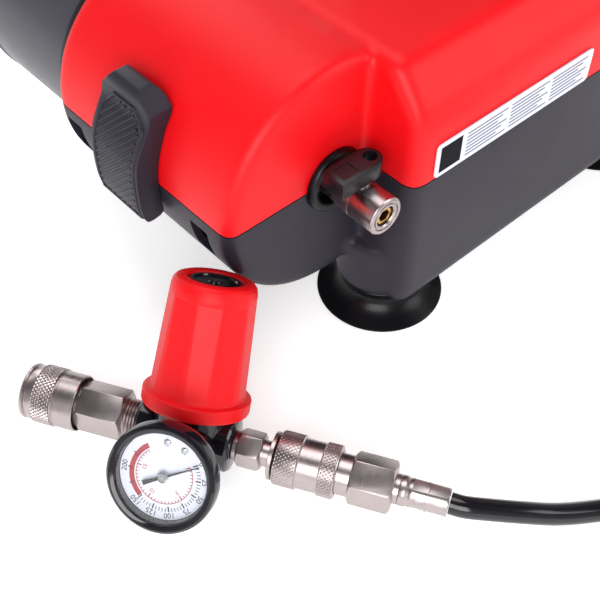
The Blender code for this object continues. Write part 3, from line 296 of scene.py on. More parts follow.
def soften(bm, offset, segments=2, angle=30):
    """Rounds the edges where the surface turns by more than the angle."""
    bmesh.ops.remove_doubles(bm, verts=bm.verts, dist=1e-6)
    bmesh.ops.recalc_face_normals(bm, faces=bm.faces)
    sharp = [edge for edge in bm.edges
             if len(edge.link_faces) == 2 and edge.calc_face_angle() > math.radians(angle)]
    bmesh.ops.bevel(bm, geom=sharp, offset=offset, offset_type="OFFSET", segments=segments,
                    profile=0.5, affect="EDGES", clamp_overlap=True, material=-1)
    return bm


def rough(bm):
    """A passing object that only lends its shape."""
    mesh = bpy.data.meshes.new("rough")
    bm.to_mesh(mesh)
    bm.free()
    obj = bpy.data.objects.new("rough", mesh)
    bpy.context.scene.collection.objects.link(obj)
    return obj


def taken(obj):
    """The object's evaluated mesh as a bmesh; the object goes."""
    bpy.context.view_layer.update()
    graph = bpy.context.evaluated_depsgraph_get()
    mesh = bpy.data.meshes.new_from_object(obj.evaluated_get(graph), depsgraph=graph)
    bm = bmesh.new()
    bm.from_mesh(mesh)
    bpy.data.objects.remove(obj, do_unlink=True)
    bpy.data.meshes.remove(mesh)
    return bm


def meet(first, others, operation="DIFFERENCE"):
    """The first shape with the others cut away, added or kept."""
    base = rough(first)
    helpers = [rough(other) for other in others]
    for helper in helpers:
        modifier = base.modifiers.new("meet", "BOOLEAN")
        modifier.operation, modifier.object, modifier.solver = operation, helper, "MANIFOLD"
    result = taken(base)
    for helper in helpers:
        bpy.data.objects.remove(helper, do_unlink=True)
    return result


def gathered(*parts):
    """Several shapes in one bmesh."""
    mesh = bpy.data.meshes.new("gathered")
    whole = bmesh.new()
    for part in parts:
        part.to_mesh(mesh)
        part.free()
        whole.from_mesh(mesh)
    bpy.data.meshes.remove(mesh)
    return whole


def hexagon(across, start, end, centre=(0, 0, 0), axis=RIGHTWARD):
    """A hexagon with its corners turned off at both ends."""
    corner = across / math.sqrt(3)
    chamfer = 0.0011
    bar = lathe([(0, start), (corner, start), (corner, end), (0, end)], segments=6)
    cone = lathe([(0, start), (across / 2 - 0.0002, start), (corner + 0.0001, start + chamfer),
                  (corner + 0.0001, end - chamfer), (across / 2 - 0.0002, end), (0, end)])
    return in_place(soften(meet(bar, [cone], "INTERSECT"), 0.0002, 2, 40), centre, axis)


def piece(name, bm, material, body="housing", nodes=(), slot=None, sharp=32):
    """A finished piece that rides on its body and stands for its CAD nodes."""
    mesh = bpy.data.meshes.new(name)
    bm.to_mesh(mesh)
    bm.free()
    mesh.shade_smooth()
    mesh.set_sharp_from_angle(angle=math.radians(sharp))
    mesh.materials.clear()
    for entry in material if isinstance(material, list) else [material]:
        mesh.materials.append(entry)
    obj = bpy.data.objects.new(name, mesh)
    bpy.context.scene.collection.objects.link(obj)
    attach(obj, body)
    if nodes:
        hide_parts(*nodes)
    slot or SLOT_OF[nodes[0]]
    return obj


def made_of(name, bm, slot, body="housing", nodes=(), sharp=32):
    """A piece in the finish that is named for its material slot."""
    return piece(name, bm, FINISHES[slot], body, nodes, slot, sharp)


def along_line(bm):
    """From the air line's own frame, where X runs to the hose, Y up the knob, Z out of the dial."""
    bm.transform(TOOL)
    return bm


def spline_steps(a, b, c, d, steps):
    """Points from b towards c on the Catmull-Rom curve through all four."""
    for i in range(steps):
        t = i / steps
        yield 0.5 * (2 * b + (c - a) * t + (2 * a - 5 * b + 4 * c - d) * t**2
                     + (3 * b - a - 3 * c + d) * t**3)


def smooth_route(points, steps):
    """A smooth open route through the points."""
    route = [Vector(p) for p in points]
    ends = [2 * route[0] - route[1], *route, 2 * route[-1] - route[-2]]
    found = [p for four in zip(ends, ends[1:], ends[2:], ends[3:])
             for p in spline_steps(*four, steps)]
    return [*found, route[-1]]


def closed_route(points, steps):
    """A smooth closed outline through the points."""
    count = len(points)
    return [p for i in range(count)
            for p in spline_steps(*(Vector(points[(i + k) % count]) for k in (-1, 0, 1, 2)),
                                  steps)]


def round_bar(name, routes, radius, resolution, cyclic=False):
    """A curve object of round section along the routes."""
    curve = bpy.data.curves.new(name, "CURVE")
    curve.dimensions = "3D"
    curve.bevel_depth, curve.bevel_resolution, curve.use_fill_caps = radius, resolution, True
    for route in routes:
        spline = curve.splines.new("POLY")
        spline.points.add(len(route) - 1)
        for target, point in zip(spline.points, route):
            target.co = (*point, 1)
        spline.use_cyclic_u, spline.use_smooth = cyclic, True
    obj = bpy.data.objects.new(name, curve)
    bpy.context.scene.collection.objects.link(obj)
    return obj


def wires(routes, radius, resolution=2, cyclic=False):
    """Round bars along the routes, as one bmesh."""
    obj = round_bar("wires", routes, radius, resolution, cyclic)
    curve = obj.data
    bm = taken(obj)
    bpy.data.curves.remove(curve)
    bmesh.ops.remove_doubles(bm, verts=bm.verts, dist=1e-7)
    bmesh.ops.recalc_face_normals(bm, faces=bm.faces)
    return bm


# ---------------------------------------------------------------- the free hose

HOSE_RADIUS = 0.0045
COIL = Vector((AIR_LINE.x + 0.2523, -0.2688, 0))
TURN_OUT, TURN_MID, TURN_IN = 0.062, 0.053, 0.044
LAYERS = (0.0046, 0.0131, 0.0216)
COIL_LEAD_TO_PORT, COIL_LEAD_TO_TOOL = (0.0620, 0.0345, 0.0217), (-0.0648, -0.0289, 0.0046)
COIL_START, COIL_TURNS, COIL_STEPS = math.radians(233), 7 + 127 / 360, 36
CROSSING = 0.22  # the share of a turn in which the hose moves over to the next ring
HOSE_START = 0.1083  # along the air line
FERRULE_START, FERRULE_END = 0.0883, 0.1080
PORT_DROP = [(0.1000, -0.1373, 0.0880), (0.1000, -0.1480, 0.0874), (0.1004, -0.1620, 0.0830),
             (0.1020, -0.1770, 0.0720), (0.1050, -0.1905, 0.0570), (0.1090, -0.2030, 0.0430),
             (0.1140, -0.2150, 0.0320), (0.1185, -0.2260, 0.0245), (0.1200, -0.2343, 0.0217)]
TOOL_RUN = [(-0.1392, -0.2003, 0.0170), (-0.1362, -0.2053, 0.0169), (-0.1295, -0.2115, 0.0152),
            (-0.1180, -0.2210, 0.0118), (-0.1055, -0.2301, 0.0078), (-0.0890, -0.2401, 0.0048),
            (-0.0700, -0.2515, 0.0046), (-0.0500, -0.2650, 0.0046), (-0.0280, -0.2815, 0.0046),
            (-0.0068, -0.2977, 0.0046)]


def landed(points, start, end):
    """The drawn points, moved so that they land on the given ends, three at each end together."""
    points = [Vector(p) for p in points]
    at_start, at_end = Vector(start) - points[0], Vector(end) - points[-1]
    between = len(points) - 5
    shares = (min(1, max(0, (i - 2) / between)) for i in range(len(points)))
    return [p + at_start.lerp(at_end, share) for p, share in zip(points, shares)]


def coil_route():
    """Turns wound from the floor up, from the tool's side to the port's side."""
    rings = [(TURN_OUT, 0), (TURN_MID, 0), (TURN_IN, 0), (TURN_IN, 1), (TURN_MID, 1),
             (TURN_OUT, 1), (TURN_OUT, 2), (TURN_OUT, 2), (TURN_OUT, 2)]
    points = []
    for i in range(int(COIL_TURNS * COIL_STEPS) + 1):
        t = min(i / COIL_STEPS, COIL_TURNS)
        now, after = rings[int(t)], rings[int(t) + 1]
        ease = max(0.0, (t % 1 - (1 - CROSSING)) / CROSSING)
        ease = ease * ease * (3 - 2 * ease)
        radius = now[0] + (after[0] - now[0]) * ease
        height = LAYERS[now[1]] + (LAYERS[after[1]] - LAYERS[now[1]]) * ease
        angle = COIL_START + math.tau * t
        points.append(COIL + Vector((radius * math.cos(angle), radius * math.sin(angle), height)))
    return points


def add_hose():
    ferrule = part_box("hose_ferrule_port")[0].y - GAP
    drop = landed(PORT_DROP, (TANK_X, ferrule, SEAM), COIL + Vector(COIL_LEAD_TO_PORT))
    run = landed(TOOL_RUN, AIR_LINE + LINE_AXIS * HOSE_START, COIL + Vector(COIL_LEAD_TO_TOOL))
    path = [*smooth_route(drop, 5), *reversed(coil_route()), *reversed(smooth_route(run, 5))]
    hose = round_bar("air_hose", [path], HOSE_RADIUS, 6)
    hose.data.materials.append(FINISHES["black_pvc_hose"])
    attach(hose, "housing")
    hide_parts("hose_tube_port", "hose_coil", "hose_tube_tool")
    return hose


def ferrule_shape(crimps=6):
    """A crimped hose end: a collar, then two rows of flats pressed by the die."""
    body = lathe([(0, FERRULE_START), (0.0062, FERRULE_START), (0.0063, 0.0905),
                  (0.0057, 0.0918), (0.0061, 0.0930), (0.0059, 0.1070), (0.0056, FERRULE_END),
                  (0, FERRULE_END)],
                 axis=RIGHTWARD, segments=72)
    cutters = []
    for index in range(crimps):
        for start, end in ((0.0932, 0.0990), (0.0998, 0.1072)):
            flat = block((start, -0.0045, 0.0055), (end, 0.0045, 0.0090))
            flat.transform(Matrix.Rotation(math.tau * index / crimps, 4, "X"))
            cutters.append(flat)
    return soften(meet(body, cutters), 0.00012, 2, 25)


def add_ferrules():
    tool_end = made_of("hose_ferrule_at_tool", along_line(ferrule_shape()),
                       "nickel_plated_brass", nodes=["hose_ferrule_tool"])
    low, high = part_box("hose_ferrule_port")
    shape = ferrule_shape()
    shape.transform(Matrix.Translation((-FERRULE_START, 0, 0)))
    stretch = (high.y - low.y) / (FERRULE_END - FERRULE_START)
    bmesh.ops.scale(shape, verts=shape.verts, vec=(stretch, 0.93, 0.93))
    place = Matrix(((0, 1, 0, TANK_X), (-1, 0, 0, high.y), (0, 0, 1, SEAM), (0, 0, 0, 1)))
    shape.transform(place)
    port_end = made_of("hose_ferrule_at_port", shape, "nickel_plated_brass",
                       nodes=["hose_ferrule_port"])
    return [tool_end, port_end]


# ---------------------------------------------------------------- housing


def lobe(side, radius, inset, rim, segments=112):
    """The round end of the housing over one tank, with its rims rounded."""
    start, end = LOBE_FRONT + inset, LOBE_REAR - inset
    steps = [math.radians(a) for a in (0, 18, 36, 54, 72, 90)]
    front = [(radius - rim + rim * math.sin(a), start + rim - rim * math.cos(a)) for a in steps]
    rear = [(radius - rim + rim * math.cos(a), end - rim + rim * math.sin(a)) for a in steps]
    return lathe([(0, start), *front, *rear, (0, end)], (side * TANK_X, 0, SEAM), REARWARD,
                 segments)


def across(outline, half, edge, segments):
    """A (y, z) outline run across the machine, its edges rounded."""
    bm = slab([(z, y) for y, z in outline], 2 * half)
    bm.transform(Matrix(((0, 0, 1, -half), (0, 1, 0, 0), (1, 0, 0, 0), (0, 0, 0, 1))))
    bmesh.ops.recalc_face_normals(bm, faces=bm.faces)
    if edge:
        bmesh.ops.bevel(bm, geom=bm.edges[:], offset=edge, offset_type="OFFSET",
                        segments=segments, profile=0.5, affect="EDGES", material=-1)
    return bm


def housing_parts(inset, edge, segments):
    """Block, tail, deck and both lobes, drawn in by the inset."""
    low, top = BOTTOM + inset, BLOCK_TOP - inset
    front, rear = FRONT + inset, REAR - inset
    inside = LOBE_REAR - 0.020
    main = [(front, low), (front, BROW - inset / 2), (front + BROW_DEPTH, top),
            (LOBE_REAR - 0.0004 - inset, top), (LOBE_REAR - 0.0004 - inset, low)]
    tail = [(inside, low + 0.0004), (inside, top - 0.0004), (rear - BROW_DEPTH, top - 0.0004),
            (rear, BROW), (rear, low + 0.0004)]
    deck = [(inside, low + 0.0008), (inside, DECK_TOP - inset),
            (rear - 0.0004, DECK_TOP - inset), (rear - 0.0004, low + 0.0008)]
    yield across(main, BLOCK_HALF - inset, edge, segments)
    yield across(tail, TAIL_HALF - inset, edge, segments)
    yield across(deck, BLOCK_HALF - 0.0004 - inset, min(edge, 0.004), segments)
    for side in (-1, 1):
        yield lobe(side, LOBE_RADIUS - inset, inset, 0.005, 112 if segments > 1 else 40)


def latch_bay(side):
    """The shallow channel that the latch lies in, shallower towards the top."""
    reach, floor, out = math.radians(62), LOBE_RADIUS - 0.0026, LOBE_RADIUS + 0.02
    angles = [reach * (i / 24 * 2 - 1) for i in range(25)]
    inner = [(floor * math.cos(a), floor * math.sin(a)) for a in angles]
    outer = [(out * math.cos(a), out * math.sin(a)) for a in (reach, reach / 3, -reach / 3, -reach)]
    bm = slab(inner + outer, 0.068)
    bm.transform(Matrix(((side, 0, 0, side * TANK_X), (0, 0, 1, LATCH_Y - 0.034),
                         (0, 1, 0, SEAM), (0, 0, 0, 1))))
    bmesh.ops.recalc_face_normals(bm, faces=bm.faces)
    return bm


def housing_skin():
    """The whole moulded form before it is split, with every corner blended."""
    first, *others = housing_parts(0, 0.006, 4)
    for node in FOOT_NODES:
        x, y = middle(node).xy
        others.append(lathe([(0, BOTTOM), (BOSS_RADIUS - BOSS_EDGE, BOTTOM),
                             (BOSS_RADIUS, BOTTOM + BOSS_EDGE),
                             (BOSS_RADIUS, BOTTOM + BOSS_TALL - BOSS_EDGE),
                             (0, BOTTOM + BOSS_TALL)], (x, y, 0), UP, 64))
    whole = meet(first, others, "UNION")
    whole = meet(whole, [latch_bay(-1), latch_bay(1)])
    form = rough(whole)
    remesh = form.modifiers.new("blend", "REMESH")
    remesh.mode, remesh.voxel_size = "VOXEL", 0.0015
    relax = form.modifiers.new("relax", "SMOOTH")
    relax.factor, relax.iterations = 0.5, 12
    return taken(form)


def tank_openings():
    cutters = []
    for side in (-1, 1):
        centre = (side * TANK_X, 0, SEAM)
        cutters += [rod(SLEEVE_RADIUS + 2 * GAP, centre, REARWARD, LOBE_REAR - 0.015, REAR + 0.01,
                        96),
                    rod(GROMMET_HOLE, centre, REARWARD, LOBE_FRONT - 0.01, LOBE_FRONT + 0.006, 64)]
    return cutters


def add_housing():
    skin = housing_skin()
    first, *others = housing_parts(WALL, 0, 1)
    hollow = meet(first, others, "UNION")
    upper = meet(skin.copy(), [block((-0.3, -0.3, SEAM + SHELL_SEAM), (0.3, 0.3, 0.3))],
                 "INTERSECT")
    lower = meet(skin, [block((-0.3, -0.3, 0), (0.3, 0.3, SEAM - SHELL_SEAM))], "INTERSECT")
    low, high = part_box("switch_frame")
    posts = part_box("carry_handle")
    post_x = posts[1].x - HANDLE_RADIUS
    handle_y = (posts[0].y + posts[1].y) / 2
    cuts = tank_openings()
    cuts += [rod(HANDLE_BORE, (side * post_x, handle_y, BLOCK_TOP), UP, -0.01, 0.01)
             for side in (-1, 1)]
    cuts.append(block((low.x + 0.002, REAR - 0.01, low.z + 0.002),
                      (high.x - 0.002, REAR + 0.01, high.z - 0.002)))
    made_of("cover_moulding", meet(upper, [hollow.copy(), *cuts]), "red_abs",
            nodes=["cover_shell"])
    cuts = tank_openings()
    for side in (-1, 1):
        cuts.append(rod(TANK_RADIUS + GAP, (side * TANK_X, 0, SEAM), REARWARD,
                        TANK_LOW.y - 0.001, LOBE_REAR - 0.012, 96))
        for y in WINDOW_PLACES:
            x, top = side * SHELL_HIGH.x, SEAM - WINDOW_TOP
            window = block((x - WINDOW_DEEP, y, top - WINDOW_TALL),
                           (x + WINDOW_DEEP, y + WINDOW_WIDE, top))
            cuts.append(soften(window, 0.0012, 3))
    for index in range(SLOTS):
        z = BOTTOM + SLOT_FIRST + SLOT_PITCH * index
        cuts.append(soften(block((SLOT_LEFT, REAR - 2 * WALL, z),
                                 (SLOT_RIGHT, REAR + 0.01, z + SLOT_TALL)), 0.0015, 3))
    gland = middle("cord_gland")
    cuts.append(rod(GLAND_HOLE, (gland.x, REAR, gland.z), REARWARD, -0.012, 0.012))
    made_of("base_moulding", meet(lower, [hollow, *cuts]), "charcoal_abs", nodes=["base_shell"])


# ---------------------------------------------------------------- tanks, feet, handle


def add_tanks():
    radius, dome = TANK_RADIUS, 0.35 * TANK_RADIUS
    front, rear = TANK_HIGH.y - 0.200, TANK_HIGH.y
    steps = [math.radians(a) for a in range(0, 91, 6)]
    rear_dome = [(radius * math.cos(a), rear - dome + dome * math.sin(a)) for a in steps]
    front_dome = [(radius * math.sin(a), front + dome - dome * math.cos(a)) for a in steps[2:]]
    weld = [(radius, rear - dome - 0.0045), (radius + 0.0005, rear - dome - 0.0038),
            (radius + 0.0006, rear - dome - 0.0028), (radius + 0.0005, rear - dome - 0.0018),
            (radius, rear - dome - 0.0011)]
    for side, label in ((-1, "left"), (1, "right")):
        profile = [(0, front - 0.005), (0.008, front - 0.005), (0.008, front + 0.001),
                   *front_dome, *weld, *rear_dome[:-1], (0, rear)]
        shell = lathe(profile, (side * TANK_X, 0, SEAM), REARWARD, 128)
        made_of(f"tank_{label}_shell", shell, "grey_tank_paint", nodes=[f"tank_{label}"])
        start, end = SLEEVE_LOW.y, SLEEVE_HIGH.y
        inner, outer = radius + GAP, SLEEVE_RADIUS
        sleeve = lathe([(inner, start), (outer, start), (outer, end - 0.0022),
                        (outer - 0.0004, end - 0.0008), (outer - 0.0015, end),
                        (inner + 0.0006, end), (inner, end - 0.0006)],
                       (side * TANK_X, 0, SEAM), REARWARD, 128)
        made_of(f"rubber_sleeve_{label}", sleeve, "black_rubber",
                nodes=[f"tank_sleeve_{label}"])


def add_feet():
    profile = [(0, 0.0048), (0.010, 0.0044), (0.018, 0.0033), (0.0245, 0.0014), (0.0275, 0.0),
               (0.0296, 0.0), (0.0300, 0.0004), (0.0299, 0.0010), (0.0280, 0.0021),
               (0.0250, 0.0036), (0.0225, 0.0052), (0.0205, 0.0070), (0.0192, 0.0090),
               (0.0188, 0.0112), (0.0194, 0.0128), (0.0196, 0.0140), (0.0190, 0.0147),
               (0, 0.0147)]
    for node in FOOT_NODES:
        x, y = middle(node).xy
        made_of(node.replace("suction_foot", "suction_cup"),
                lathe(profile, (x, y, 0), UP, 96), "black_rubber", nodes=[node], sharp=50)


def add_handle():
    low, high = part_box("carry_handle")
    y, half, top = (low.y + high.y) / 2, high.x - HANDLE_RADIUS, high.z - HANDLE_RADIUS
    bend = 0.014
    corner = [(half - bend + bend * math.cos(a), top - bend + bend * math.sin(a))
              for a in (math.radians(d) for d in range(0, 91, 9))]
    side = [(half, low.z), *corner]
    route = [(x, y, z) for x, z in side] + [(-x, y, z) for x, z in side[::-1]]
    made_of("handle_tube", wires([route], HANDLE_RADIUS, 8), "bright_steel",
            nodes=["carry_handle"])
    grip_low, grip_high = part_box("handle_grip")
    radius = (grip_high.z - grip_low.z) / 2
    start, end = grip_low.x, grip_high.x
    ribs, groove, plain, edge = 13, 0.0007, 0.006, 0.002
    profile = [(HANDLE_BORE, start), (radius - edge, start), (radius, start + edge)]
    pitch = (end - start - 2 * plain) / ribs
    for index in range(ribs):
        x = start + plain + index * pitch
        profile += [(radius, x), (radius - groove, x + 0.3 * pitch),
                    (radius - groove, x + 0.7 * pitch)]
    profile += [(radius, end - plain), (radius, end - edge), (radius - edge, end),
                (HANDLE_BORE, end)]
    made_of("ribbed_grip", lathe(profile, (0, y, top), RIGHTWARD, 64), "black_rubber",
            nodes=["handle_grip"])
    for sign, label in ((-1, "left"), (1, "right")):
        collar = lathe([(HANDLE_BORE, 0), (0.0105, 0), (0.0105, 0.0012), (0.0088, 0.0034),
                        (HANDLE_BORE, 0.0036)], (sign * half, y, BLOCK_TOP + 0.0001), UP, 64)
        made_of(f"handle_collar_{label}", collar, "charcoal_abs")


# ---------------------------------------------------------------- latches

LATCH_OUTER = [(0.0555, 0.0430), (0.0578, 0.0400), (0.0577, 0.0355), (0.0585, 0.0305),
               (0.0612, 0.0255), (0.0640, 0.0200), (0.0660, 0.0140), (0.0668, 0.0060),
               (0.0665, -0.0060), (0.0650, -0.0140), (0.0625, -0.0165)]
LATCH_INNER = [(0.0560, -0.0150), (0.0562, -0.0080), (0.0566, 0.0000), (0.0562, 0.0070),
               (0.0550, 0.0130), (0.0530, 0.0190), (0.0500, 0.0265), (0.0468, 0.0320),
               (0.0462, 0.0360), (0.0470, 0.0400), (0.0500, 0.0430)]


LATCH_SET_IN = 0.0008  # keeps the ribs inside the machine's width
PANEL_LOW, PANEL_HIGH, PANEL_HALF, PANEL_CUT = -0.0125, 0.0335, 0.0118, 0.0065
RIB_PITCH, RIB_SLOPE, RIB_RADIUS, RIB_SUNK = 0.0034, 0.95, 0.00085, 0.0002
BORDER_RADIUS, BORDER_GAP, BORDER_CUT = 0.0010, 0.0013, 0.0068


def latch_face(z):
    """How far out the latch's front stands at a height above the tanks' axis."""
    for (x0, z0), (x1, z1) in zip(LATCH_OUTER[2:], LATCH_OUTER[3:]):
        if z1 <= z <= z0:
            return x0 + (x1 - x0) * (z - z0) / (z1 - z0)
    return LATCH_OUTER[-2][0]


def latch_silhouette(half, foot, top, cut, rise):
    """The latch seen from outside: a tall rectangle with its upper corners cut off."""
    return [(-half, foot), (half, foot), (half, top - rise), (half - cut, top),
            (cut - half, top), (-half, top - rise)]


def add_latch(side, label):
    low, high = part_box(f"latch_{label}")
    half = (high.y - low.y) / 2
    outline = [(p.x, p.y) for p in closed_route(LATCH_OUTER + LATCH_INNER, 4)]
    body = slab(outline, 2 * half)
    bmesh.ops.translate(body, verts=body.verts, vec=(0, 0, -half))
    window = slab(latch_silhouette(half - 0.00005, -0.02, 0.0432, 0.0075, 0.0085), 0.05)
    window.transform(Matrix(((0, 0, 1, 0.03), (0, 1, 0, 0), (1, 0, 0, 0), (0, 0, 0, 1))))
    bmesh.ops.recalc_face_normals(window, faces=window.faces)
    body = soften(meet(body, [window], "INTERSECT"), 0.0011, 3, 38)
    ribs = []
    for index in range(-6, 22):
        line = []
        for k in range(25):
            w = PANEL_HALF * (k / 12 - 1)
            z = PANEL_LOW + RIB_PITCH * index - RIB_SLOPE * w
            inside = min(PANEL_HALF, PANEL_HALF + PANEL_HIGH - PANEL_CUT - z)
            if PANEL_LOW <= z <= PANEL_HIGH and abs(w) <= inside:
                line.append((latch_face(z) - RIB_SUNK, z, w))
        if len(line) > 2:
            ribs.append(line)
    border = []
    corners = latch_silhouette(PANEL_HALF + BORDER_GAP, PANEL_LOW - 0.0012,
                               PANEL_HIGH + 0.0008, BORDER_CUT, BORDER_CUT)
    for (w0, z0), (w1, z1) in zip(corners, corners[1:] + corners[:1]):
        for k in range(12):
            z = z0 + (z1 - z0) * k / 12
            border.append((latch_face(z) - RIB_SUNK, z, w0 + (w1 - w0) * k / 12))
    whole = gathered(body, wires(ribs, RIB_RADIUS, 2),
                     wires([border], BORDER_RADIUS, 3, cyclic=True))
    whole.transform(Matrix(((side, 0, 0, side * (TANK_X - LATCH_SET_IN)), (0, 0, 1, LATCH_Y),
                            (0, 1, 0, SEAM), (0, 0, 0, 1))))
    bmesh.ops.recalc_face_normals(whole, faces=whole.faces)
    made_of(f"latch_lever_{label}", whole, "charcoal_abs", f"{label}_latch", [f"latch_{label}"])
    pin = middle(f"latch_pin_{label}")
    short = rod(0.0016, pin, REARWARD, 0.008 - half, half - 0.008, 32)
    made_of(f"latch_hinge_pin_{label}", short, "bright_steel", nodes=[f"latch_pin_{label}"])


# ---------------------------------------------------------------- outlet valve and hose port


def add_grommets():
    for side, node in ((-1, "valve_grommet"), (1, "outlet_grommet")):
        low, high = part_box(node)
        front, back = low.y, high.y
        ring = lathe([(0.0104, front + 0.0010), (0.0108, front + 0.0003), (0.0116, front),
                      (0.0136, front), (0.0144, front + 0.0006), (0.0148, front + 0.0016),
                      (0.0148, back), (0.0104, back)],
                     (side * TANK_X, 0, SEAM), REARWARD, 96)
        made_of(node.replace("_", "_rubber_"), ring, "black_rubber", nodes=[node])


def add_ball_valve():
    centre = (-TANK_X, 0, SEAM)
    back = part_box("ball_valve_body")[1].y
    front, wide = VALVE_FRONT, VALVE_RADIUS
    sleeve, ring = front + 0.0136, front + 0.0168
    profile = [(0.0045, back), (0.0072, back), (0.0072, LOBE_FRONT - 0.004),
               (wide - 0.0008, LOBE_FRONT - 0.0080), (wide - 0.0008, ring + 0.0006),
               (wide - 0.0002, ring), (wide - 0.0002, sleeve + 0.0006),
               (wide - 0.0009, sleeve + 0.0003),
               (wide, sleeve - 0.0002), (wide, front + 0.0006), (wide - 0.0005, front),
               (0.0067, front), (0.0065, front + 0.0006), (0.0060, front + 0.0006),
               (0.0058, front), (0.0050, front), (0.0046, front + 0.0006)]
    body = lathe(profile, centre, REARWARD, 96, loop=True)
    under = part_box("valve_lever")[0].z - STEM.z
    neck = rod(0.0050, STEM, UP, 0.0060, under - GAP, 48)
    seat = bmesh.new()
    bmesh.ops.create_uvsphere(seat, u_segments=32, v_segments=16, radius=0.0071)
    bmesh.ops.translate(seat, verts=seat.verts, vec=STEM)
    whole = meet(meet(body, [neck], "UNION"), [seat, rod(0.0023, STEM, UP, 0, 0.03, 32)])
    made_of("outlet_valve_body", soften(whole, 0.00012, 1, 40), "nickel_plated_brass",
            nodes=["ball_valve_body"])
    insert = lathe([(0.0029, 0.0012), (0.0043, 0.0012), (0.0043, 0.0068), (0.0029, 0.0068)],
                   (-TANK_X, front, SEAM), REARWARD, 6, loop=True)
    made_of("outlet_valve_insert", insert, "brass")

    low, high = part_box("valve_lever")
    half, thick = (high.y - low.y) / 2, high.z - low.z
    tail, nose = low.x - STEM.x, high.x - STEM.x - half
    turns = [math.radians(a) for a in range(-90, 91, 9)]
    outline = [(nose + half * math.cos(a), half * math.sin(a)) for a in turns]
    lever = slab([*outline, (tail, half), (tail, -half)], thick)
    lever = soften(lever, 0.0005, 2, 40)
    bmesh.ops.translate(lever, verts=lever.verts, vec=(0, 0, under))
    eye = rod(0.0030, (nose + 0.001, 0, 0), UP, under - 0.001, 0.05, 48)
    wall = 0.0016
    hollow = slab([(tail + wall, wall - half), (-0.0062, wall - half),
                   (-0.0062, half - wall), (tail + wall, half - wall)], 0.006)
    bmesh.ops.translate(hollow, verts=hollow.verts, vec=(0, 0, under - 0.001))
    lever = meet(lever, [eye, hollow])
    dish = block((tail + 0.0030, -0.0032, under + thick - 0.0004),
                 (tail + 0.0105, 0.0032, under + thick + 0.001))
    lever = meet(lever, [dish])
    lever.transform(Matrix.Translation(STEM))
    piece("outlet_valve_lever", lever, FINISHES["black_nylon"], "outlet_lever", ["valve_lever"])
    ball = bmesh.new()
    bmesh.ops.create_uvsphere(ball, u_segments=48, v_segments=24, radius=0.0065)
    bmesh.ops.translate(ball, verts=ball.verts, vec=STEM)
    stem = rod(0.0020, STEM, UP, 0.0045, under - GAP, 32)
    bore = rod(0.003, STEM, RIGHTWARD, -0.02, 0.02, 32)
    made_of("outlet_valve_ball", meet(meet(ball, [stem], "UNION"), [bore]), "brass",
            "outlet_lever", ["valve_ball"])


def add_hose_port():
    low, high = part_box("outlet_port")
    front, back = low.y, high.y
    profile = [(0.0045, back), (0.0075, back), (0.0075, LOBE_FRONT - 0.0060),
               (0.0088, LOBE_FRONT - 0.0068), (0.0088, LOBE_FRONT - 0.0165),
               (0.0065, LOBE_FRONT - 0.0175), (0.0065, front + 0.0006), (0.0059, front),
               (0.0045, front)]
    port = lathe(profile, (TANK_X, 0, SEAM), REARWARD, 96, loop=True)
    nut = hexagon(0.0166, 0.0072, 0.0158, (TANK_X, LOBE_FRONT, SEAM), -REARWARD)
    bore = rod(0.0050, (TANK_X, 0, SEAM), REARWARD, front - 0.01, back + 0.01)
    made_of("hose_port_fitting", gathered(port, meet(nut, [bore])), "nickel_plated_brass",
            nodes=["outlet_port"])


# ---------------------------------------------------------------- regulator and couplings


def knurl(radius, start, end, count, depth):
    """A band of diamond knurling round X."""
    steps, around = int((end - start) / 0.00020), count * 8
    ring = [(radius, start + (end - start) * i / steps) for i in range(steps + 1)]
    inner = radius - 0.0012
    bm = lathe([(inner, start), *ring, (inner, end)], segments=around, loop=True)
    pitch = math.tau * radius / count
    for vert in bm.verts:
        if vert.co.xy.length < radius - 0.0001 or not start + 0.0001 < vert.co.z < end - 0.0001:
            continue
        turn = math.atan2(vert.co.y, vert.co.x) / math.tau * count
        slide = (vert.co.z - start) / (pitch * 1.2)
        rise = min(abs((turn + slide) % 1 - 0.5), abs((turn - slide) % 1 - 0.5)) * 2
        vert.co.xy *= (radius - depth * (1 - min(1.0, 1.6 * rise))) / radius
    return in_place(bm, (0, 0, 0), RIGHTWARD)


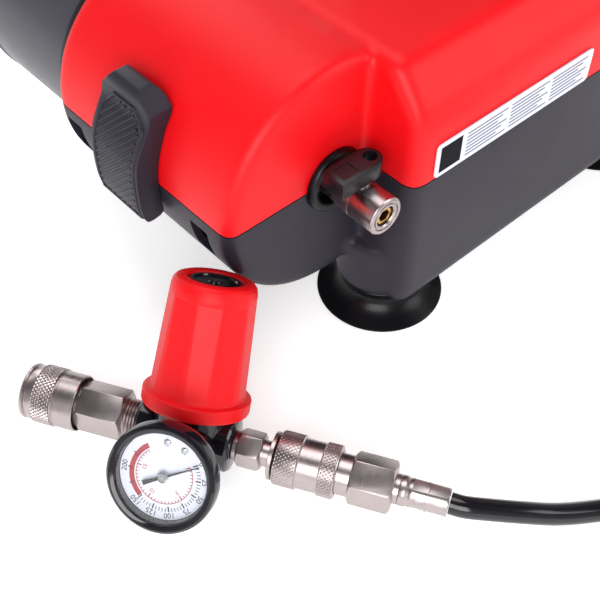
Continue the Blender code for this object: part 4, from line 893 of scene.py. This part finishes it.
def add_regulator():
    cup = [(0, -0.0170), (0.0030, -0.0168), (0.0070, -0.0150), (0.0100, -0.0130),
           (0.0140, -0.0105), (0.0160, -0.0090), (0.0165, -0.0080), (0.0165, 0.0105),
           (0.0155, 0.0118), (0.0110, 0.0120), (0.0110, 0.0300), (0, 0.0300)]
    body = lathe(cup, axis=REARWARD, segments=96)
    boss = rod(0.0100, (0, 0, 0), RIGHTWARD, -0.0215, 0.0190, 64)
    collar = lathe([(0, 0.0125), (0.0112, 0.0125), (0.0118, 0.0132), (0.0118, 0.0178),
                    (0.0110, 0.0188), (0, 0.0188)], axis=RIGHTWARD, segments=64)
    other = lathe([(0, -0.0212), (0.0110, -0.0212), (0.0118, -0.0200), (0.0118, -0.0150),
                   (0.0112, -0.0142), (0, -0.0142)], axis=RIGHTWARD, segments=64)
    neck = lathe([(0, -0.0175), (0.0085, -0.0175), (0.0085, 0.0258), (0.0078, 0.0268),
                  (0, 0.0268)], (GAUGE_SIDE, 0, 0), UP, 64)
    whole = meet(body, [boss, collar, other, neck], "UNION")
    made_of("regulator_casting", along_line(soften(whole, 0.0005, 2, 40)),
            "black_gloss_plastic", nodes=["regulator_body"])

    low, top = 0.0125, 0.0665
    flange, grip, crown = 0.0223, 0.0195, 0.0172
    profile = [(0.0113, low), (flange - 0.0012, low), (flange - 0.0003, low + 0.0006),
               (flange, low + 0.0014), (flange, low + 0.0056), (flange - 0.0002, low + 0.0060),
               (flange - 0.0008, low + 0.0063), (grip + 0.0002, low + 0.0066),
               (grip, low + 0.0070), (crown + 0.0002, top - 0.0040),
               (crown - 0.0003, top - 0.0020), (crown - 0.0014, top - 0.0006),
               (crown - 0.0028, top), (0.0122, top), (0.0114, top - 0.0005),
               (0.0110, top - 0.0030), (0, top - 0.0030), (0, 0.0303), (0.0113, 0.0303)]
    knob = lathe(profile, axis=REARWARD, segments=144, loop=True)
    lean = math.atan2(grip - crown, top - low - 0.012)
    cutters = []
    flats, depth = 10, 0.01905
    for index in range(flats):
        flat = soften(block((-0.02, 0, 0), (0.02, 0.0395, 0.01)), 0.0006, 2)
        flat.transform(Matrix.Rotation(math.tau * (index + 0.42) / flats, 4, "Y")
                       @ Matrix.Translation((0, low + 0.0076, depth))
                       @ Matrix.Rotation(-lean, 4, "X"))
        cutters.append(flat)
    knob = soften(meet(knob, cutters), 0.00025, 2, 9)
    made_of("regulator_grip", along_line(knob), "red_abs", "pressure_knob", ["regulator_knob"])
    level = top - 0.0030 + GAP
    cap = [(0, level), (0.0106, level), (0.0106, level + 0.0014), (0.0100, level + 0.0019),
           (0.0088, level + 0.0019), (0.0084, level + 0.0012), (0.0030, level + 0.0010),
           (0.0026, level + 0.0016), (0, level + 0.0017)]
    made_of("regulator_cap", along_line(lathe(cap, axis=REARWARD, segments=72)),
            "black_gloss_plastic", "pressure_knob", ["knob_cap"])


def add_couplings():
    nickel = "nickel_plated_brass"
    body = gathered(
        hexagon(0.0190, -0.0475, -0.0280),
        lathe([(0.0050, -0.0690), (0.0056, -0.0700), (0.0094, -0.0700), (0.0100, -0.0694),
               (0.0100, -0.0470), (0.0050, -0.0470)], axis=RIGHTWARD, segments=96, loop=True),
        lathe([(0, -0.0480), (0.0098, -0.0480), (0.0100, -0.0476), (0.0100, -0.0470),
               (0, -0.0470)], axis=RIGHTWARD, segments=96),
        thread(0.0078, -0.0282, -0.0218))
    made_of("air_outlet_coupler", along_line(body), nickel, nodes=["outlet_coupler_body"])
    sleeve = gathered(
        lathe([(0.0103, -0.0718), (0.0114, -0.0718), (0.0118, -0.0712), (0.0118, -0.0704),
               (0.0110, -0.0699), (0.0110, -0.0693), (0.0117, -0.0688), (0.0117, -0.0664),
               (0.0119, -0.0660), (0.0119, -0.0580), (0.0116, -0.0577), (0.0116, -0.0570),
               (0.0120, -0.0566), (0.0120, -0.0484), (0.0117, -0.0480), (0.0114, -0.0480),
               (0.0114, -0.0520), (0.0103, -0.0530)], axis=RIGHTWARD, segments=128, loop=True),
        knurl(0.0124, -0.0662, -0.0580, 44, 0.0005))
    made_of("air_outlet_sleeve", along_line(sleeve), nickel, "outlet_sleeve",
            ["outlet_coupler_sleeve"])

    plug = gathered(
        hexagon(0.0140, 0.0213, 0.0315),
        lathe([(0, 0.0193), (0.0060, 0.0193), (0.0062, 0.0196), (0.0062, 0.0216), (0, 0.0216)],
              axis=RIGHTWARD),
        lathe([(0, 0.0312), (0.0054, 0.0312), (0.0054, 0.0348), (0.0050, 0.0350),
               (0.0044, 0.0352), (0.0044, 0.0500), (0, 0.0500)], axis=RIGHTWARD, segments=72))
    made_of("air_inlet_plug", along_line(plug), nickel, nodes=["inlet_plug"])

    coupler = gathered(
        hexagon(0.0190, 0.0685, 0.0860),
        lathe([(0.0047, 0.0355), (0.0050, 0.0352), (0.0093, 0.0352), (0.0100, 0.0355),
               (0.0100, 0.0369), (0.0095, 0.0372), (0.0085, 0.0376), (0.0085, 0.0700),
               (0.0047, 0.0700)], axis=RIGHTWARD, segments=96, loop=True),
        lathe([(0, 0.0855), (0.0062, 0.0855), (0.0062, 0.0880), (0, 0.0880)],
              axis=RIGHTWARD, segments=72))
    made_of("hose_coupler", along_line(coupler), nickel, nodes=["hose_coupler_body"])
    sleeve = gathered(
        lathe([(0.0088, 0.0380), (0.0108, 0.0380), (0.0110, 0.0384), (0.0110, 0.0472),
               (0.0104, 0.0477), (0.0104, 0.0562), (0.0107, 0.0566), (0.0107, 0.0626),
               (0.0104, 0.0630), (0.0096, 0.0632), (0.0088, 0.0632)], axis=RIGHTWARD,
              segments=128, loop=True),
        knurl(0.0112, 0.0384, 0.0472, 42, 0.0005), knurl(0.0110, 0.0566, 0.0626, 42, 0.0005))
    made_of("hose_coupler_collar", along_line(sleeve), nickel, "hose_sleeve",
            ["hose_coupler_sleeve"])


def thread(radius, start, end):
    """A short pipe thread: rings at its pitch."""
    pitch, depth = 0.0013, 0.0006
    profile = [(0, start)]
    along = start
    while along < end:
        profile += [(radius - depth, along), (radius, min(end, along + pitch / 2))]
        along += pitch
    profile += [(radius - depth, end), (0, end)]
    return lathe(profile, axis=RIGHTWARD, segments=64)


# ---------------------------------------------------------------- pressure gauge

DIAL_NUMBERS = (0, 25, 50, 75, 100, 125, 150, 200)
INNER_NUMBERS = ((5, 70), (10, 140), (15, 210))
INK_DEPTH = 0.00008
MARK_OUTER, NUMBERS_AT, NUMBER_SIZE = 0.0143, 0.0157, 0.0030
BAND_INNER, BAND_OUTER, BAND_START = 0.0118, 0.0138, 152
INNER_MARKS, INNER_MARK_STEP, INNER_SCALE = 36, 7.0, 0.0110
INNER_NUMBERS_AT, INNER_NUMBER_SIZE = 0.0080, 0.0023
FULL_SCALE = 250
NEEDLE_REST = math.radians(30)
SCALE_START, SCALE_SWEEP = 32.0, 265.0  # degrees, clockwise


def dial_angle(value):
    return math.radians(SCALE_START - SCALE_SWEEP * value / FULL_SCALE)


def dial_bar(inner, outer, angle, width, level):
    bm = block((inner, -width / 2, level), (outer, width / 2, level + INK_DEPTH))
    bm.transform(Matrix.Translation((GAUGE_SIDE, 0, 0)) @ Matrix.Rotation(angle, 4, "Z"))
    return bm


def dial_arc(inner, outer, first, last, level):
    steps = 40
    angles = [dial_angle(first + (last - first) * i / steps) for i in range(steps + 1)]
    outline = ([(GAUGE_SIDE + outer * math.cos(a), outer * math.sin(a)) for a in angles]
               + [(GAUGE_SIDE + inner * math.cos(a), inner * math.sin(a))
                  for a in reversed(angles)])
    bm = slab(outline, INK_DEPTH)
    bmesh.ops.translate(bm, verts=bm.verts, vec=(0, 0, level))
    return bm


def figures(number, size, radius, value, level):
    """A number standing on the dial with its top outwards."""
    curve = bpy.data.curves.new("figures", "FONT")
    curve.body, curve.size, curve.extrude = str(number), size, INK_DEPTH / 2
    curve.align_x, curve.align_y, curve.resolution_u = "CENTER", "CENTER", 3
    obj = bpy.data.objects.new("figures", curve)
    bpy.context.scene.collection.objects.link(obj)
    bm = taken(obj)
    bpy.data.curves.remove(curve)
    angle = dial_angle(value)
    bmesh.ops.remove_doubles(bm, verts=bm.verts, dist=1e-7)
    bm.transform(Matrix.Translation((GAUGE_SIDE + radius * math.cos(angle),
                                     radius * math.sin(angle), level + INK_DEPTH / 2))
                 @ Matrix.Rotation(angle - math.pi / 2, 4, "Z"))
    return bm


def add_gauge():
    rim = 0.049
    back, radius, inner = rim - 0.013, 0.0215, 0.0178
    floor = rim - 0.0064
    centre = (GAUGE_SIDE, 0, 0)
    case = lathe([(0, 0.0273), (0.0055, 0.0273), (0.0055, back), (radius - 0.0040, back),
                  (radius - 0.0022, back + 0.0012), (radius - 0.0010, back + 0.0040),
                  (radius - 0.0004, back + 0.0060), (radius - 0.0004, rim - 0.0062),
                  (radius, rim - 0.0058), (radius, rim - 0.0018), (radius - 0.0004, rim - 0.0007),
                  (radius - 0.0014, rim), (inner + 0.0016, rim), (inner + 0.0004, rim - 0.0005),
                  (inner, rim - 0.0012),
                  (inner, floor), (0, floor)], centre, UP, 128)
    made_of("gauge_housing", along_line(case), "black_gloss_plastic", nodes=["gauge_case"])
    face = floor + 0.0012
    disc = lathe([(0.0012, floor + GAP), (inner - GAP, floor + GAP), (inner - GAP, face),
                  (0.0012, face)], centre, UP, 128, loop=True)
    made_of("gauge_face", along_line(disc), "white_vinyl", nodes=["gauge_dial"])
    level = face + 0.00002
    black, red = [], []
    for value in range(0, FULL_SCALE, 5):
        tall = value % 25 == 0
        if value <= 150 or tall:
            black.append(dial_bar(0.0122 if tall else 0.0128, MARK_OUTER, dial_angle(value),
                                  0.0005 if tall else 0.00026, level))
    for value in DIAL_NUMBERS:
        black.append(figures(value, NUMBER_SIZE, NUMBERS_AT, value, level))
    red.append(dial_arc(BAND_INNER, BAND_OUTER, BAND_START, FULL_SCALE, level))
    red.append(dial_arc(INNER_SCALE, INNER_SCALE + 0.00025, 0, FULL_SCALE - 4, level))
    for index in range(INNER_MARKS):
        tall = index % 10 == 0
        red.append(dial_bar(0.0094 if tall else 0.0101, INNER_SCALE,
                            dial_angle(index * INNER_MARK_STEP),
                            0.0004 if tall else 0.00024, level))
    for number, value in INNER_NUMBERS:
        red.append(figures(number, INNER_NUMBER_SIZE, INNER_NUMBERS_AT, value, level))
    piece("dial_black_scale", along_line(gathered(*black)), INKS["black"], slot="white_vinyl")
    piece("dial_red_scale", along_line(gathered(*red)), INKS["red"], slot="white_vinyl")
    for index, (x, y) in enumerate(((-0.0007, 0.0132), (0.0062, 0.0117))):
        place = (GAUGE_SIDE + x, y, 0)
        head = lathe([(0, face), (0.0014, face), (0.0014, face + 0.0003),
                      (0.0010, face + 0.0006), (0, face + 0.0007)], place, UP, 32)
        reach, narrow = 0.0010, 0.00016
        cross = [block((-x_half, -y_half, face + 0.0004), (x_half, y_half, face + 0.002))
                 for x_half, y_half in ((reach, narrow), (narrow, reach))]
        for bar in cross:
            bar.transform(Matrix.Translation(place) @ Matrix.Rotation(0.5, 4, "Z"))
        made_of(f"dial_screw_{index}", along_line(meet(head, cross)), "bright_steel")
    lens = lathe([(0, rim - 0.0022), (inner - GAP, rim - 0.0022), (inner - GAP, rim - 0.0012),
                  (0, rim - 0.0008)], centre, UP, 96)
    made_of("gauge_window", along_line(lens), "clear_lens", nodes=["gauge_lens"])
    height = floor + 0.0026
    pointer = slab([(-0.0085, -0.0010), (-0.0060, -0.0008), (0.0, -0.0005), (0.0150, -0.00015),
                    (0.0150, 0.00015), (0.0, 0.0005), (-0.0060, 0.0008), (-0.0085, 0.0010)],
                   0.0004)
    pointer.transform(Matrix.Translation((GAUGE_SIDE, 0, height))
                      @ Matrix.Rotation(NEEDLE_REST, 4, "Z"))
    piece("gauge_pointer", along_line(pointer), INKS["black"], "needle", ["gauge_needle"])
    hub = lathe([(0, height - 0.0007), (0.0018, height - 0.0007), (0.0022, height),
                 (0.0022, height + 0.0006), (0.0016, height + 0.0010), (0.0007, height + 0.0010),
                 (0.0005, height + 0.0007), (0, height + 0.0007)], centre, UP, 48)
    made_of("gauge_pointer_hub", along_line(hub), "bright_steel", "needle")


# ---------------------------------------------------------------- rear, relief, drain, label


def add_rear_parts():
    low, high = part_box("switch_frame")
    rim = block(low, high)
    hole = block((low.x + 0.004, low.y - 0.01, low.z + 0.004),
                 (high.x - 0.004, high.y + 0.01, high.z - 0.004))
    made_of("switch_bezel", soften(meet(rim, [hole]), 0.0005, 2), "charcoal_abs",
            nodes=["switch_frame"])
    rocker = bmesh.new()
    rocker.from_mesh(frame["nodes"]["rocker_switch"].data)
    bmesh.ops.remove_doubles(rocker, verts=rocker.verts, dist=1e-6)
    bmesh.ops.dissolve_limit(rocker, angle_limit=0.01, verts=rocker.verts, edges=rocker.edges)
    made_of("power_rocker_key", soften(rocker, 0.0005, 3, 12), "red_abs", "power_rocker",
            ["rocker_switch"])
    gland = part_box("cord_gland")
    x, z = middle("cord_gland").x, middle("cord_gland").z
    start = REAR + GAP
    boot = [(0, start - 0.008), (0.0078, start - 0.008), (0.0078, start), (0.0105, start),
            (0.0105, start + 0.0022), (0.0098, start + 0.0030)]
    for index in range(4):
        along = start + 0.0034 + index * 0.0024
        wide = 0.0082 - index * 0.0009
        boot += [(wide, along), (wide - 0.0002, along + 0.0012), (wide - 0.0012, along + 0.0014),
                 (wide - 0.0012, along + 0.0022)]
    boot += [(0.0046, gland[1].y), (0.0035, gland[1].y), (0.0035, start + 0.002),
             (0, start + 0.002)]
    made_of("cord_boot", lathe(boot, (x, 0, z), REARWARD, 64), "black_rubber",
            nodes=["cord_gland"])


def add_relief_and_drain():
    low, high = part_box("safety_valve_body")
    x, y = middle("safety_valve_body").xy
    base = low.z
    body = lathe([(0.0015, base + 0.006), (0.0015, base + 0.022), (0.0044, base + 0.022),
                  (0.0050, base + 0.0214), (0.0050, base + 0.0196), (0.0060, base + 0.0190),
                  (0.0060, base + 0.0095), (0.0070, base + 0.0085), (0.0070, base),
                  (0, base), (0, base + 0.006)], (x, y, 0), UP, 64, loop=True)
    nut = hexagon(0.0140, base + 0.0008, base + 0.0072, (x, y, 0), UP)
    cap = knurl(0.0064, 0, 0.0085, 26, 0.0004)
    cap.transform(Matrix.Translation((x, y, base + 0.0098))
                  @ Matrix.Rotation(-math.pi / 2, 4, "Y"))
    made_of("relief_valve_body", gathered(body, nut, cap), "brass", nodes=["safety_valve_body"])
    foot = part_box("safety_valve_ring")[0].z
    top, loop_radius = base + 0.027, 0.008
    rounds = [(x + loop_radius * math.cos(a), y, top + 0.0072 + loop_radius * math.sin(a))
              for a in (math.tau * i / 64 for i in range(64))]
    pin = wires([[(x, y, foot), (x, y, top)]], 0.0012, 5)
    made_of("relief_pull_ring", gathered(pin, wires([rounds], 0.0009, 4, cyclic=True)),
            "bright_steel", "relief_ring", ["safety_valve_ring"])

    low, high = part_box("drain_valve_body")
    x, y = middle("drain_valve_body").xy
    made_of("drain_fitting", gathered(
        lathe([(0, high.z), (0.0068, high.z), (0.0068, high.z - 0.0072),
               (0.0050, high.z - 0.0080), (0.0050, low.z), (0, low.z)], (x, y, 0), UP, 64),
        hexagon(0.0128, high.z - 0.0066, high.z - 0.0006, (x, y, 0), UP)), "brass",
        nodes=["drain_valve_body"])
    low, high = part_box("drain_knob")
    outline, steps, waves = [], 120, 10
    for index in range(steps):
        angle = math.tau * index / steps
        reach = 0.0080 + 0.0005 * math.cos(waves * angle)
        outline.append((x + reach * math.cos(angle), y + reach * math.sin(angle)))
    wheel = slab(outline, high.z - low.z)
    bmesh.ops.translate(wheel, verts=wheel.verts, vec=(0, 0, low.z))
    made_of("drain_wheel", soften(wheel, 0.0007, 2, 50), "charcoal_abs", "drain_handwheel",
            ["drain_knob"])


def add_label():
    """A plain instruction sticker: white film, a dark square and grey rules in place of print."""
    low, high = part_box("front_label")
    film = block(low, high)
    upright = [edge for edge in film.edges
               if abs(edge.verts[0].co.y - edge.verts[1].co.y) > 1e-5]
    bmesh.ops.bevel(film, geom=upright, offset=0.0022, offset_type="OFFSET", segments=5,
                    profile=0.5, affect="EDGES", material=-1)
    made_of("sticker_film", film, "white_vinyl", nodes=["front_label"])
    face = low.y - 0.00006
    square = block((low.x + 0.0022, face, low.z + 0.0020),
                   (low.x + 0.0150, low.y, high.z - 0.0020))
    piece("sticker_square", soften(square, 0.00002, 1), INKS["black"], slot="white_vinyl")
    rules, rows, pitch, stroke, ragged = [], 7, 0.0019, 0.0007, 0.0060
    columns = ((0.0180, 0.0430), (0.0455, 0.0700), (0.0725, 0.0965))
    for row in range(rows):
        z = high.z - 0.0028 - row * pitch
        for start, end in columns:
            short = ragged * ((row * 7 + int(start * 1000)) % 3) / 2
            rules.append(block((low.x + start, face, z - stroke),
                               (low.x + end - short, low.y, z)))
    piece("sticker_rules", gathered(*rules), INKS["grey"], slot="white_vinyl")


# ---------------------------------------------------------------- studio


LAMPS = (("key", (-0.95, -0.85, 0.75), 0.9, 16.0), ("fill", (0.75, -1.15, 0.80), 0.8, 7.0),
         ("top", (0.10, 0.30, 1.50), 1.0, 10.0), ("rear", (0.30, 1.30, 0.70), 0.9, 7.0))
LAMP_AIM = (-0.05, -0.05, 0.06)
SKY_LOW, SKY_MIDDLE, SKY_TOP = (0.8, 0.8, 0.82, 1), (0.62, 0.62, 0.64, 1), (0.10, 0.10, 0.11, 1)
SKY_STRENGTH = 0.85


def add_studio():
    scene = bpy.context.scene
    scene.view_settings.view_transform = "Standard"
    world = bpy.data.worlds.new("studio")
    world.use_nodes = True
    scene.world = world
    tree = world.node_tree
    direction = add(tree, "ShaderNodeTexCoord").outputs["Generated"]
    height = add(tree, "ShaderNodeSeparateXYZ", {"Vector": direction}).outputs["Z"]
    ramp = add(tree, "ShaderNodeValToRGB", {"Fac": height})
    low, high = ramp.color_ramp.elements
    low.position, low.color = 0.0, SKY_LOW
    high.position, high.color = 0.75, SKY_TOP
    ramp.color_ramp.elements.new(0.32).color = SKY_MIDDLE
    background = tree.nodes["Background"]
    tree.links.new(ramp.outputs["Color"], background.inputs["Color"])
    background.inputs["Strength"].default_value = SKY_STRENGTH
    for name, place, size, power in LAMPS:
        light = bpy.data.lights.new(name, "AREA")
        light.energy, light.size = power, size
        lamp = bpy.data.objects.new(name, light)
        scene.collection.objects.link(lamp)
        aim = Vector(LAMP_AIM) - Vector(place)
        lamp.matrix_world = (Matrix.Translation(place)
                             @ aim.to_track_quat("-Z", "Y").to_matrix().to_4x4())
    floor = bmesh.new()
    bmesh.ops.create_grid(floor, x_segments=2, y_segments=2, size=6)
    mesh = bpy.data.meshes.new("floor")
    floor.to_mesh(mesh)
    floor.free()
    paper = bpy.data.materials.new("white_acrylic_table")
    paper.use_nodes = True
    shader = paper.node_tree.nodes["Principled BSDF"]
    shader.inputs["Base Color"].default_value = linear("#f6f6f6")
    shader.inputs["Roughness"].default_value = 0.9
    shader.inputs["Emission Color"].default_value = (1, 1, 1, 1)
    shader.inputs["Emission Strength"].default_value = 0.45
    mesh.materials.append(paper)
    table = bpy.data.objects.new("floor", mesh)
    table.location.z = -0.0005
    scene.collection.objects.link(table)


def dress_hidden_parts():
    """The inner machinery keeps its model shapes and gets its real finishes."""
    for name, node in frame["nodes"].items():
        node.data.materials.clear()
        node.data.materials.append(FINISHES[SLOT_OF[name]])


def main():
    add_camera()
    dress_hidden_parts()
    hose = add_hose()
    ferrules = add_ferrules()
    add_housing()
    add_tanks()
    add_feet()
    add_handle()
    add_latch(-1, "left")
    add_latch(1, "right")
    add_grommets()
    add_ball_valve()
    add_hose_port()
    add_regulator()
    add_couplings()
    add_gauge()
    add_rear_parts()
    add_relief_and_drain()
    add_label()
    add_studio()


main()
